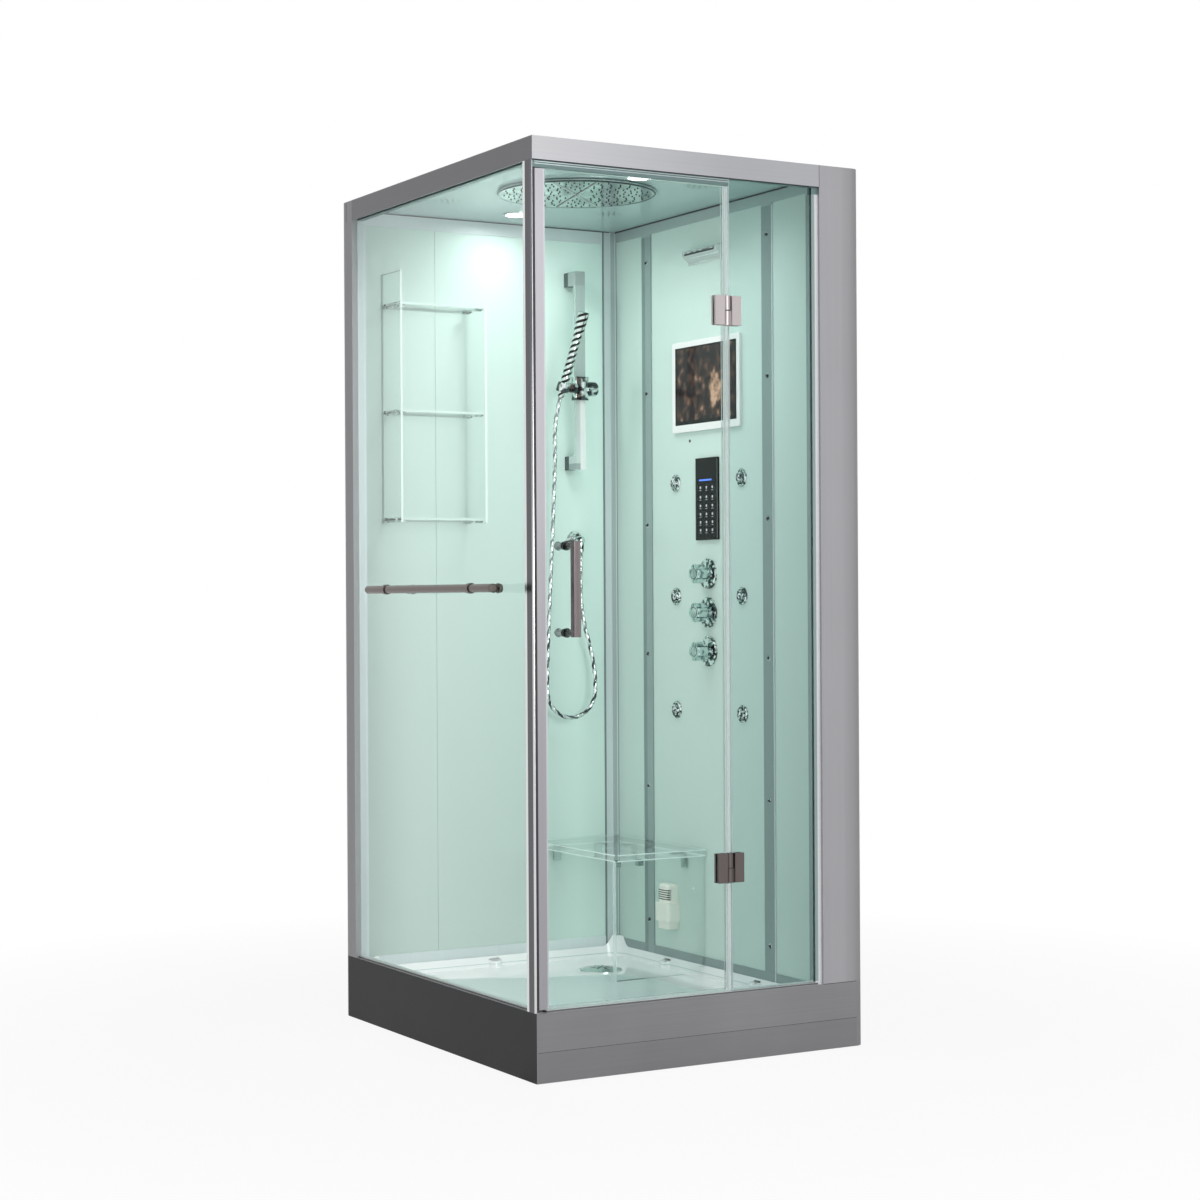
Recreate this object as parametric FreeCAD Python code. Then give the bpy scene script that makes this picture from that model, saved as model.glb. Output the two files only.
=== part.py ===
"""Steam shower cabin, square plan, hinged glass door at the front.

Frame: millimetres, +Z up, origin on the floor at the middle of the cabin's footprint.
+X runs to the right along the door side, +Y runs from the door side to the rear wall.
"""
import FreeCAD, Part
import math
import os

Vector = FreeCAD.Vector

# ---------------------------------------------------------------- driving sizes
# overall
cabin_width = 914.0
cabin_depth = 1067.0
cabin_height = 2150.0

# base
base_height = 161.0
kick_height = 72.0
skirt_thickness = 3.0
skirt_floor_gap = 2.0
outer_corner_radius = 24.0
wall_foot_height = 127.0
tray_floor_height = 105.0
tray_underside = 20.0
tray_clearance = 0.3
tray_rim_width = 34.0
wall_ledge_margin = 1.0
basin_ledge_width = 8.0
basin_slope = 16.0
basin_corner_radius = 45.0
platform_rise = 9.0
platform_margin = 12.0
platform_corner_radius = 22.0
platform_front_x = 168.0
platform_rear_y = 320.0
platform_right_edge = ((180.0, -213.0), (181.0, -24.0), (150.0, 110.0), (-82.0, 195.0), (-290.0, 290.0))
weep_width = 38.0
weep_rim = 3.0
weep_depth = 5.0
weep_set_back = 4.0
weep_reach_in = 30.0
weep_reach_out = 14.0
weep_places_right = (205.0, -230.0)
weep_place_rear = -48.0
drain_hole_radius = 45.0
drain_flange_width = 14.0
drain_recess = 3.0
drain_place = (165.0, 257.0)
drain_slots = 8
drain_slot_inner = 14.0
drain_slot_outer = 33.0
drain_slot_width = 4.0
frame_tube = 30.0
frame_inset = 60.0
foot_pad_radius = 25.0
foot_pad_chamfer = 4.0
foot_stud_radius = 6.0
foot_pad_height = 10.0

# roof
fascia_height = 53.0
fascia_thickness = 3.0
ceiling_drop = 26.0
ceiling_thickness = 4.0
rain_head_radius = 200.0
rain_head_thickness = 6.0
rain_head_gap = 2.0
rain_head_hub = 60.0
rain_head_stem_radius = 11.7
rain_head_stem = 20.0
rain_head_place = (-73.0, -58.0)
downlight_radius = 38.0
downlight_rim = 6.0
downlight_lip = 3.0
downlight_can = 20.0
downlight_places = ((-43.0, 318.0), (-43.0, -318.0))
speaker_radius = 52.0
speaker_depth = 20.0
speaker_places = ((-298.0, 218.0), (156.0, -276.0))
fan_radius = 56.0
fan_wall = 4.0
fan_depth = 16.0
fan_hub_radius = 20.0
fan_blades = 7
fan_blade_pitch = 40.0
fan_shaft_radius = 2.5
fan_place = (170.0, 200.0)
grille_hole = 3.5
grille_rings = ((0.0, 1), (16.0, 6), (32.0, 12))

# corner members
post_width = 30.0
post_depth = 27.0
post_corner_radius = 4.0
post_leaf = 4.2
post_step = 2.5
front_column_width = 122.0
front_column_depth = 47.5
column_wall = 3.0
rear_column_width = 16.0
rear_column_depth = 70.0
rear_column_return = 57.0

# glass
pane_thickness = 8.0
glass_inset = 8.0
glass_groove_clearance = 0.3
groove_depth = 10.0
jamb_width = 19.0
threshold_height = 5.0
threshold_depth = 20.0
sill_lip = 10.0
head_rail_depth = 16.0
pane_head_gap = 4.0

# door
door_bottom_gap = 2.0
door_top_drop = 19.5
header_gap = 2.5
hinge_axis_x = 72.0
hinge_edge_gap = 5.5
hinge_side_seal = 6.5
door_edge_inset = 10.5
stile_width = 25.0
stile_wall = 1.5
stile_edge = 4.0
sweep_height = 6.0
strike_seal_width = 6.0
hinge_leaf_width = 36.0
hinge_height = 70.0
hinge_plate = 6.0
hinge_notch_depth = 9.0
hinge_barrel_radius = 9.5
hinge_barrel_gap = 1.0
hinge_arm = 12.0
hinge_pin_radius = 4.0
hinge_pin_start = 5.0
hinge_heights = (459.0, 1783.0)
handle_x = -370.0
handle_bottom = 1013.0
handle_length = 218.0
handle_bar = 18.0
handle_stem_radius = 7.5
handle_spacing = 199.0
handle_projection = 45.0
handle_rose = 3.5
handle_cap_length = 32.0

# walls
back_wall_inset = 60.0
right_wall_inset = 107.0
wall_panel = 6.0
wall_frame_depth = 22.0
frame_proud = 3.0
back_top_rail = 36.0
back_bottom_rail = 33.0
back_left_stile = 26.0
back_right_stile = 23.0
corner_profile_width = 20.0
corner_profile_proud = 3.0
right_top_rail = 30.0
right_bottom_rail = 28.0
right_front_stile = 28.0
strip_width = 48.0
strip_lap = 10.0
strip_places = (302.0, -286.0)
back_panel_seam_x = -211.0
panel_seam_gap = 1.0

# fittings on the right wall
fittings_y = -3.0
monitor_width = 328.0
monitor_height = 240.0
monitor_centre_z = 1662.0
monitor_proud = 8.0
monitor_border = 15.0
monitor_chin = 4.0
monitor_depth = 36.0
monitor_flange = 10.0
screen_recess = 0.6
screen_thickness = 1.4
control_width = 108.0
control_height = 216.0
control_centre_z = 1361.0
control_proud = 6.0
control_depth = 30.0
control_flange = 8.0
knob_heights = (1164.0, 1062.5, 961.0)
knob_plate_radius = 40.0
knob_plate_thickness = 7.0
knob_radius = 25.0
knob_length = 30.0
knob_neck_radius = 17.0
knob_groove_radius = 9.0
knob_groove_offset = 3.0
knob_lobes = 4
knob_neck_length = 10.0
valve_stem_radius = 5.0
valve_stem_reach = 22.0
valve_neck_radius = 12.5
valve_body_radius = 24.0
valve_body_length = 46.0
manifold_pipe_radius = 9.0
manifold_pipe_spacing = 32.0
manifold_overrun = 60.0
jet_spacing_y = 320.0
jet_heights = (1409.0, 1105.0, 802.0)
jet_radius = 23.0
jet_proud = 5.0
jet_ball_radius = 13.0
jet_belt = 3.0
jet_sleeve_wall = 2.2
jet_sleeve_length = 24.0
jet_slot_spacing = 3.0
jet_slot_width = 1.6
jet_slot_length = 10.0
spout_width = 165.0
spout_height = 28.0
spout_depth = 26.0
spout_edge = 4.0
spout_slot = 5.0
spout_centre_z = 2003.0
spout_pipe_radius = 9.7
steam_outlet_y = 185.0
steam_outlet_bottom = 213.0
steam_foot = (56.0, 32.0, 20.0)
steam_cup = (70.0, 38.0, 50.0)
steam_dome = (50.0, 33.0, 50.0)
steam_slots = 5
steam_slot_pitch = 6.0
steam_pipe_radius = 11.0
steam_pipe_height = 45.0
pipe_hole_clearance = 0.3

# rear wall fittings
shelf_left_x = -370.0
shelf_right_x = -117.0
shelf_plate = 6.0
shelf_depth = 120.0
shelf_setback = 2.0
shelf_plate_foot = 12.0
shelf_left_plate_top = 1960.0
shelf_clip = (16.0, 14.0, 5.0)
shelf_clip_inset = 26.0
shelf_heights = (1878.0, 1597.0, 1315.0)
rail_x = 200.0
rail_width = 30.0
rail_thickness = 10.0
rail_reach = 64.0
rail_bracket_height = 38.0
rail_bottom = 1455.0
rail_top = 1999.0
slider_height = 64.0
slider_centre_z = 1677.0
slider_wall = 5.0
slide_clearance = 0.3
holder_ring_outer = 18.0
holder_ring_half = 13.0
holder_pivot_offset = 8.0
holder_hub_radius = 13.0
holder_hub_length = 17.0
slider_spindle_radius = 5.0
clamp_knob_radius = 20.0
clamp_knob_length = 30.0
holder_seat = (136.0, 392.0, 1677.0)
handset_top = (172.0, 338.0, 1878.0)
handset_below_seat = 28.0
handset_grip_radius = 11.5
handset_ribs = 7
handset_head_length = 62.0
hose_radius = 6.0
outlet_x = 213.0
outlet_z = 1262.0
outlet_reach = 35.5
outlet_rose_radius = 25.0
outlet_elbow_radius = 12.0
outlet_nut_radius = 9.5
outlet_drop = 34.0
outlet_tail_radius = 10.7
outlet_tail_length = 30.0

# bench
bench_left_x = 70.0
bench_front_y = 10.0
bench_top = 440.0
bench_thickness = 18.0
bench_leg_thickness = 15.0
bench_leg_inset = 6.0
bench_corner_radius = 12.0
bracket_width = 24.0
bracket_arm = 40.0
bracket_thickness = 4.0
bracket_places_right = (120.0, 380.0)
bracket_places_rear = (150.0, 280.0)

# towel rail on the left pane
towel_bar_radius = 10.0
towel_bar_length = 683.0
towel_bar_centre_y = -90.5
towel_bar_z = 1126.0
towel_bar_spacing = 463.0
towel_bar_projection = 63.0
towel_stem_radius = 6.0
towel_collar = 2.5
towel_collar_length = 14.0
towel_rose_radius = 11.0
towel_cap = ((12.0, 0.0), (12.0, 4.0), (10.0, 10.0), (6.0, 12.0))

# services behind the right wall
generator_length = 260.0
generator_height = 330.0
generator_place = (-460.0, 640.0)
generator_gap = 8.0
generator_corner_radius = 8.0
steam_pipe_rise = 60.0
steam_pipe_setback = 50.0
inlet_radius = 10.0
inlet_length = 16.0
waste_radius = 20.0
waste_wall = 3.0
waste_pipe_height = 34.0
waste_spigot = 40.0
waste_spigot_step = 2.0
waste_end_inset = 20.0
waste_port_width = 80.0
waste_port_height = 75.0

# fits
fit_clearance = 0.3
running_clearance = 0.05
spare = 1.0  # how far a cutting tool stands past what it cuts

# ---------------------------------------------------------------- derived places
left_x = -cabin_width / 2
right_x = cabin_width / 2
front_y = -cabin_depth / 2
rear_y = cabin_depth / 2
fascia_bottom = cabin_height - fascia_height
ceiling_height = cabin_height - ceiling_drop
door_top_height = fascia_bottom - door_top_drop
back_face = rear_y - back_wall_inset
right_face = right_x - right_wall_inset
front_pane_outer = front_y + glass_inset
front_pane_inner = front_pane_outer + pane_thickness
left_pane_outer = left_x + glass_inset
left_pane_inner = left_pane_outer + pane_thickness
pane_mid_y = (front_pane_outer + front_pane_inner) / 2
front_column_x = right_x - front_column_width
jamb_x = front_column_x - jamb_width
rear_column_y = rear_y - rear_column_depth
post_front = front_pane_inner + post_step
post_rear = post_front + post_depth
pane_bottom = base_height + threshold_height
fixed_edge_x = hinge_axis_x + hinge_edge_gap
door_edge_x = hinge_axis_x - hinge_edge_gap
wall_frame_x = right_face - frame_proud
wall_frame_y = back_face - frame_proud
corner_profile_y = wall_frame_y - corner_profile_proud
jet_sleeve_radius = jet_ball_radius + slide_clearance + jet_sleeve_wall
steam_pipe_z = steam_outlet_bottom + steam_pipe_height
hose_end_z = outlet_z - outlet_drop

nodes = {}


# ---------------------------------------------------------------- helpers
def box(x0, x1, y0, y1, z0, z1):
    """Straight block between two corners."""
    return Part.makeBox(x1 - x0, y1 - y0, z1 - z0, Vector(x0, y0, z0))


def rod(radius, start, direction, length):
    """Round bar from a point along a direction."""
    return Part.makeCylinder(radius, length, Vector(*start), Vector(*direction))


def tube(outer, inner, start, direction, length):
    """Round bar with a through hole."""
    return rod(outer, start, direction, length).cut(rod(inner, start, direction, length))


def polygon_face(points):
    """Flat face through a closed run of points."""
    corners = [Vector(*p) for p in points]
    return Part.Face(Part.makePolygon(corners + [corners[0]]))


def plate(points, z0, z1):
    """Upright prism over a plan outline."""
    return polygon_face([(x, y, z0) for x, y in points]).extrude(Vector(0, 0, z1 - z0))


def round_edges(solid, radius, wanted):
    """Fillet the edges for which wanted(edge) is true."""
    picked = [e for e in solid.Edges if wanted(e)]
    return solid.makeFillet(radius, picked) if picked else solid


def upright_at(*places):
    """Test for vertical edges at given plan places."""
    def wanted(edge):
        a, b = edge.Vertexes[0].Point, edge.Vertexes[-1].Point
        upright = abs(a.x - b.x) < 0.01 and abs(a.y - b.y) < 0.01 and abs(a.z - b.z) > 0.5
        return upright and any(abs(a.x - x) < 0.05 and abs(a.y - y) < 0.05 for x, y in places)
    return wanted


def rounded_outline(x0, x1, y0, y1, z, radius):
    """Closed rectangle with round corners at one height."""
    edges = []
    corners = [(x1, y0, -90), (x1, y1, 0), (x0, y1, 90), (x0, y0, 180)]
    last = None
    first = None
    for x, y, start in corners:
        cx = x - radius if x == x1 else x + radius
        cy = y - radius if y == y1 else y + radius
        ends = []
        for turn in (0, 45, 90):
            a = math.radians(start + turn)
            ends.append(Vector(cx + radius * math.cos(a), cy + radius * math.sin(a), z))
        if last is not None:
            edges.append(Part.LineSegment(last, ends[0]).toShape())
        edges.append(Part.Arc(*ends).toShape())
        last = ends[2]
        first = first or ends[0]
    edges.append(Part.LineSegment(last, first).toShape())
    return Part.Wire(edges)


def rounded_block(x0, x1, y0, y1, z0, z1, radius):
    """Block whose four upright edges are rounded."""
    solid = box(x0, x1, y0, y1, z0, z1)
    return round_edges(solid, radius, upright_at((x0, y0), (x0, y1), (x1, y0), (x1, y1)))


def turned(profile, start, direction):
    """Body of revolution: profile is (radius, distance along the axis) pairs."""
    points = [Vector(r, 0, h) for r, h in profile]
    points = [Vector(0, 0, profile[0][1])] + points + [Vector(0, 0, profile[-1][1])]
    loop = [points[0]]
    for p in points[1:]:
        if p.distanceToPoint(loop[-1]) > 1e-6:
            loop.append(p)
    face = Part.Face(Part.makePolygon(loop + [loop[0]]))
    solid = face.revolve(Vector(0, 0, 0), Vector(0, 0, 1), 360)
    spin = FreeCAD.Rotation(Vector(0, 0, 1), Vector(*direction))
    solid.Placement = FreeCAD.Placement(Vector(*start), spin)
    return solid


def fused(first, *others):
    """One solid from touching solids."""
    return first.fuse(list(others)).removeSplitter()


def save(name, *solids):
    """Keep one named piece, or a group of like pieces."""
    nodes[name] = list(solids)


# ---------------------------------------------------------------- base
def base_plan(inset, z0, z1):
    """Footprint of the cabin, set in from its outer faces; the near left corner is square."""
    x0, x1 = left_x + inset, right_x - inset
    y0, y1 = front_y + inset, rear_y - inset
    solid = box(x0, x1, y0, y1, z0, z1)
    return round_edges(solid, outer_corner_radius - inset, upright_at((x1, y0), (x1, y1), (x0, y1)))


def make_skirts():
    """Four skirt panels and the removable kick panel, with a port for the waste pipe."""
    low, high = skirt_floor_gap, base_height
    ring = base_plan(0, low, high).cut(base_plan(skirt_thickness, low - spare, high + spare))
    inner_left, inner_front = left_x + skirt_thickness, front_y + skirt_thickness
    corner_x, corner_y = right_x - outer_corner_radius, rear_y - outer_corner_radius
    front_zone = box(inner_left, corner_x, front_y - spare, inner_front, low - spare, high + spare)
    front = ring.common(front_zone)
    joint = fit_clearance / 2
    upper_zone = box(left_x, right_x, front_y - spare, inner_front, kick_height + joint, high + spare)
    lower_zone = box(left_x, right_x, front_y - spare, inner_front, low - spare, kick_height - joint)
    save("front_kick_panel", front.common(lower_zone))

    port_x, half = drain_place[0], waste_port_width / 2
    rest = ring.cut(front_zone)
    rest = rest.cut(box(port_x - half, port_x + half, rear_y - skirt_thickness - spare, rear_y + spare,
                        0, waste_port_height))
    left_zone = box(left_x - spare, inner_left, front_y - spare, corner_y, 0, high + spare)
    right_zone = box(corner_x, right_x + spare, front_y - spare, rear_y + spare, 0, high + spare)
    rear_zone = box(left_x - spare, corner_x, corner_y, rear_y + spare, 0, high + spare)
    save("base_skirts", front.common(upper_zone), rest.common(left_zone), rest.common(right_zone),
         rest.common(rear_zone))


def make_tray():
    """Tray: deck with a lowered ledge for the walls, basin, standing platform and weep notches."""
    bottom = tray_floor_height - tray_underside
    over = base_height + 5 * spare
    body = base_plan(skirt_thickness + tray_clearance, bottom, base_height)
    ledge_x = wall_frame_x - wall_ledge_margin
    ledge_y = corner_profile_y - wall_ledge_margin
    far = 5 * spare
    ledge = box(ledge_x, right_x + far, front_y - far, rear_y + far, wall_foot_height, over).fuse(
        box(left_x - far, right_x + far, ledge_y, rear_y + far, wall_foot_height, over))
    keep_front = box(left_x - far, right_x + far, front_y - far, front_y + front_column_depth,
                     wall_foot_height - spare, over)
    keep_left = box(left_x - far, left_x + rear_column_width, front_y - far, rear_y + far,
                    wall_foot_height - spare, over)
    body = body.cut(ledge.cut(keep_front).cut(keep_left))

    fall = basin_slope * (over - tray_floor_height) / (base_height - tray_floor_height)
    x0, x1 = left_x + tray_rim_width + basin_slope, ledge_x - basin_ledge_width
    y0, y1 = front_y + front_column_depth + basin_slope, ledge_y - basin_ledge_width
    radius = basin_corner_radius
    body = body.cut(Part.makeLoft([
        rounded_outline(x0, x1, y0, y1, tray_floor_height, radius),
        rounded_outline(x0 - fall, x1 + fall, y0 - fall, y1 + fall, over, radius + fall)], True, True))

    m = platform_margin
    outline = [(x0 + m, y0 + m), (platform_front_x, y0 + m), *platform_right_edge, (x0 + m, platform_rear_y)]
    platform = plate(outline, tray_floor_height - spare, tray_floor_height + platform_rise)
    platform = round_edges(platform, platform_corner_radius, lambda e: e.BoundBox.ZLength > platform_rise)
    body = body.fuse(platform).removeSplitter()

    half = weep_width / 2
    slot = half - weep_rim
    low, high = wall_foot_height - weep_depth, wall_foot_height + spare
    lug_height = wall_foot_height - tray_floor_height - weep_rim
    lug_places = [(ledge_x - weep_set_back, y) for y in weep_places_right]
    lug_places.append((weep_place_rear, ledge_y - weep_set_back))
    for x, y in lug_places:
        body = body.fuse(rod(half, (x, y, tray_floor_height), (0, 0, 1), lug_height))
    for y in weep_places_right:
        body = body.cut(box(ledge_x - weep_reach_in, ledge_x + weep_reach_out, y - slot, y + slot, low, high))
    body = body.cut(box(weep_place_rear - slot, weep_place_rear + slot,
                        ledge_y - weep_reach_in, ledge_y + weep_reach_out, low, high))

    x, y = drain_place
    body = body.cut(rod(drain_hole_radius + fit_clearance, (x, y, 0), (0, 0, 1), over))
    body = body.cut(rod(drain_hole_radius + drain_flange_width, (x, y, tray_floor_height - drain_recess),
                        (0, 0, 1), drain_recess + weep_rim * 2))
    save("shower_tray", body)


def make_undercarriage():
    """Welded tube frame under the tray, on screw feet."""
    top = tray_floor_height - tray_underside
    low = top - frame_tube
    half = frame_tube / 2
    x, y = right_x - frame_inset, rear_y - frame_inset
    ends = [box(-x, x, at - half, at + half, low, top) for at in (-y, y)]
    sides = [box(at - half, at + half, -y + half, y - half, low, top) for at in (-x + half, x - half)]
    middle = box(-x + frame_tube, x - frame_tube, -half, half, low, top)
    save("tray_frame", middle, *ends, *sides)
    places = [(sx * (x - half), sy * y) for sy in (-1, 1) for sx in (-1, 1)] + [(0, 0)]
    profile = [(foot_pad_radius, 0), (foot_pad_radius - foot_pad_chamfer, foot_pad_height),
               (foot_stud_radius, foot_pad_height), (foot_stud_radius, low)]
    save("levelling_feet", *[turned(profile, (fx, fy, 0), (0, 0, 1)) for fx, fy in places])


def make_waste():
    """Waste: flange in the tray, trap below it, outlet pipe to the rear, and a slotted cover."""
    x, y = drain_place
    seat = tray_floor_height - drain_recess
    trap = drain_hole_radius
    flange = drain_hole_radius + drain_flange_width - fit_clearance
    bottom = waste_pipe_height - waste_radius + waste_wall - seat
    body = turned([(trap - 5, bottom), (trap, bottom + 8), (trap, 0), (flange, 0), (flange, waste_wall)],
                  (x, y, seat), (0, 0, 1))
    reach = rear_y - waste_end_inset - y
    step = reach - waste_spigot
    pipe = turned([(waste_radius - waste_spigot_step, 0), (waste_radius - waste_spigot_step, step),
                   (waste_radius, step), (waste_radius, reach)], (x, y, waste_pipe_height), (0, 1, 0))
    hollow = rod(trap - 8, (x, y, seat + bottom + 5), (0, 0, 1), 5 - bottom)
    save("drain_body", fused(body, pipe).cut(hollow))

    plug = trap - 9
    under = waste_wall + fit_clearance
    cover = turned([(plug, -6), (plug, under), (flange - 2, under), (flange - 2, 6), (trap - 5, 10), (1, 12)],
                   (x, y, seat), (0, 0, 1))
    half = drain_slot_width / 2
    slots = []
    for k in range(drain_slots):
        slot = box(drain_slot_inner, drain_slot_outer, -half, half, seat - 10, seat + 20)
        slot.rotate(Vector(0, 0, 0), Vector(0, 0, 1), 360 * k / drain_slots)
        slot.translate(Vector(x, y, 0))
        slots.append(slot)
    save("drain_cover", cover.cut(slots))


# ---------------------------------------------------------------- upright members and fixed glass
def make_uprights():
    """Front left post, front right column and rear left column."""
    z0, z1 = base_height, fascia_bottom
    leaf_front = front_pane_outer - stile_wall
    post = fused(box(left_x, left_x + post_width, post_front, post_rear, z0, z1),
                 box(left_x, left_x + post_leaf, leaf_front, post_front, z0, z1))
    post = round_edges(post, post_corner_radius, upright_at((left_x, leaf_front)))
    groove = glass_groove_clearance
    post = post.cut(box(left_pane_outer - groove, left_pane_inner + groove,
                        post_rear - groove_depth, post_rear + spare, pane_bottom, z1 + spare))
    save("corner_post", post)

    top = cabin_height
    column_rear = front_y + front_column_depth
    wall = column_wall
    column = box(front_column_x, right_x, front_y, column_rear, z0, top)
    column = round_edges(column, outer_corner_radius, upright_at((right_x, front_y)))
    hollow = box(front_column_x + wall, right_x - wall, front_y + wall, column_rear + spare,
                 z0 - spare, top + spare)
    hollow = round_edges(hollow, outer_corner_radius - wall, upright_at((right_x - wall, front_y + wall)))
    side = box(left_x, left_x + rear_column_return, rear_column_y, rear_y, z0, top)
    side = round_edges(side, outer_corner_radius, upright_at((left_x, rear_y)))
    inner = box(left_x + rear_column_width, left_x + rear_column_return + spare, rear_column_y - spare,
                rear_y - wall, z0 - spare, top + spare)
    save("corner_columns", column.cut(hollow), side.cut(inner))


def make_fixed_glass():
    """Channels that hold the panes, and the two fixed panes."""
    groove = glass_groove_clearance
    z0, z1 = base_height, fascia_bottom
    threshold = box(left_x + post_width, front_column_x, front_pane_outer, front_pane_inner + threshold_depth,
                    z0, pane_bottom)
    left_sill = box(left_pane_outer, left_pane_inner + sill_lip, post_rear, rear_column_y, z0, pane_bottom)
    jamb = box(jamb_x, front_column_x, front_pane_outer - 1, front_pane_inner + 8, pane_bottom, z1)
    jamb = jamb.cut(box(jamb_x - spare, jamb_x + groove_depth, front_pane_outer - groove,
                        front_pane_inner + groove, pane_bottom - spare, z1 + spare))
    header = box(left_x + post_leaf, fixed_edge_x, front_pane_outer, post_front,
                 door_top_height + header_gap, ceiling_height)
    head_rail = box(fixed_edge_x, jamb_x, front_pane_inner + groove, front_pane_inner + head_rail_depth,
                    z1, ceiling_height)
    side_header = box(left_pane_inner + groove, left_pane_inner + head_rail_depth, post_rear, rear_column_y,
                      z1, ceiling_height)
    save("glass_rails", threshold, left_sill, jamb, header, head_rail, side_header)

    top = ceiling_height - pane_head_gap
    left_pane = box(left_pane_outer, left_pane_inner, post_rear - groove_depth + spare, rear_column_y,
                    pane_bottom, top)
    pane = box(fixed_edge_x, jamb_x + groove_depth - spare, front_pane_outer, front_pane_inner,
               pane_bottom, top)
    save("fixed_glass", left_pane, pane.cut([hinge_notch(1, z) for z in hinge_heights]))


def hinge_notch(side, z):
    """Cut-out in a pane's edge that a hinge barrel passes through; side is -1 for the door."""
    edge = hinge_axis_x + side * hinge_edge_gap
    near, far = edge - side * spare, edge + side * hinge_notch_depth
    half = hinge_height / 2 + spare
    return box(min(near, far), max(near, far), front_pane_outer - spare, front_pane_inner + spare,
               z - half, z + half)


# ---------------------------------------------------------------- door
def hinge_leaf(side, z, low, high):
    """Leaf clamped on one pane; side is -1 for the door, +1 for the fixed pane.

    low and high bound the half of the barrel that belongs to this leaf.
    """
    y0, y1 = front_pane_outer, front_pane_inner
    near = hinge_axis_x + side * (hinge_barrel_radius + hinge_barrel_gap)
    far = hinge_axis_x + side * hinge_leaf_width
    core = hinge_axis_x + side * (hinge_edge_gap + hinge_notch_depth - fit_clearance)
    half = hinge_height / 2
    arm_half = hinge_arm / 2
    x0, x1 = min(near, far), max(near, far)
    outer = box(x0, x1, y0 - hinge_plate, y0, z - half, z + half)
    inner = box(x0, x1, y1, y1 + hinge_plate, z - half, z + half)
    web = box(min(near, core), max(near, core), y0 - spare, y1 + spare, z - half, z + half)
    barrel = rod(hinge_barrel_radius, (hinge_axis_x, pane_mid_y, low), (0, 0, 1), high - low)
    arm = box(min(near, hinge_axis_x), max(near, hinge_axis_x), pane_mid_y - arm_half, pane_mid_y + arm_half,
              low, high)
    return fused(outer, inner, web, barrel, arm)


def handle_stem_places():
    """Heights of the door handle's two stems."""
    return [handle_bottom + (handle_length + side * handle_spacing) / 2 for side in (-1, 1)]


def make_door_leaf():
    """Door glass with its edge profile and seals."""
    z0, z1 = pane_bottom + door_bottom_gap, door_top_height
    stile_x = left_x + door_edge_inset
    sweep_top = z0 + sweep_height
    glass = box(stile_x + stile_edge, door_edge_x, front_pane_outer, front_pane_inner, sweep_top, z1)
    glass = glass.cut([hinge_notch(-1, z) for z in hinge_heights])
    for z in handle_stem_places():
        glass = glass.cut(rod(handle_stem_radius + fit_clearance, (handle_x, front_pane_outer - spare, z),
                              (0, 1, 0), pane_thickness + 2 * spare))
    save("door_glass", glass)

    stile = box(stile_x, stile_x + stile_width, front_pane_outer - stile_wall, front_pane_inner + stile_wall,
                z0, z1)
    stile = stile.cut(box(stile_x + stile_edge, stile_x + stile_width + spare, front_pane_outer,
                          front_pane_inner, z0 - spare, z1 + spare))
    save("door_stile", stile)

    strike = box(stile_x - strike_seal_width, stile_x, front_pane_outer - 0.5, front_pane_inner - 0.5, z0, z1)
    sweep = box(stile_x + stile_width, door_edge_x, front_pane_outer, front_pane_inner, z0, sweep_top)
    seals = [strike, sweep]
    half = hinge_height / 2 + spare
    ends = [z0] + [z + side * half for z in hinge_heights for side in (-1, 1)] + [z1]
    for low, high in zip(ends[::2], ends[1::2]):
        seals.append(box(door_edge_x, door_edge_x + hinge_side_seal, front_pane_outer, front_pane_inner,
                         low, high))
    save("door_seals", *seals)


def make_handle():
    """Square bar outside, stems through the glass, turned caps inside."""
    y_bar = front_pane_outer - handle_projection
    half = handle_bar / 2
    stem, rose = handle_stem_radius, handle_stem_radius + handle_rose
    bar = box(handle_x - half, handle_x + half, y_bar - half, y_bar + half,
              handle_bottom, handle_bottom + handle_length)
    bar = round_edges(bar, stile_wall, lambda e: e.Length > handle_length - spare)
    cap = [(stem + 2, 0), (stem + 2, 3), (stem, 5), (stem + 1, handle_cap_length - 8),
           (stem + 3, handle_cap_length - 4), (stem + 2, handle_cap_length)]
    parts = []
    for z in handle_stem_places():
        parts.append(turned([(rose, 0), (rose, 4), (stem, 4), (stem, handle_projection - half)],
                            (handle_x, front_pane_outer, z), (0, -1, 0)))
        parts.append(rod(stem, (handle_x, front_pane_outer, z), (0, 1, 0), pane_thickness))
        parts.append(turned(cap, (handle_x, front_pane_inner, z), (0, 1, 0)))
    save("door_handle", fused(bar, *parts))


def make_hinges():
    """Two glass hinges: door leaves above, fixed leaves with their pins below."""
    half = hinge_height / 2
    door_leaves = []
    fixed_leaves = []
    for z in hinge_heights:
        leaf = hinge_leaf(-1, z, z + fit_clearance, z + half)
        hole = rod(hinge_pin_radius + running_clearance, (hinge_axis_x, pane_mid_y, z - half - spare),
                   (0, 0, 1), hinge_height + 2 * spare)
        door_leaves.append(leaf.cut(hole))
        pin = rod(hinge_pin_radius, (hinge_axis_x, pane_mid_y, z - hinge_pin_start), (0, 0, 1),
                  half + hinge_pin_start - spare)
        fixed_leaves.append(fused(hinge_leaf(1, z, z - half, z), pin))
    save("hinge_leaves_door", *door_leaves)
    save("hinge_leaves_fixed", *fixed_leaves)


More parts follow.
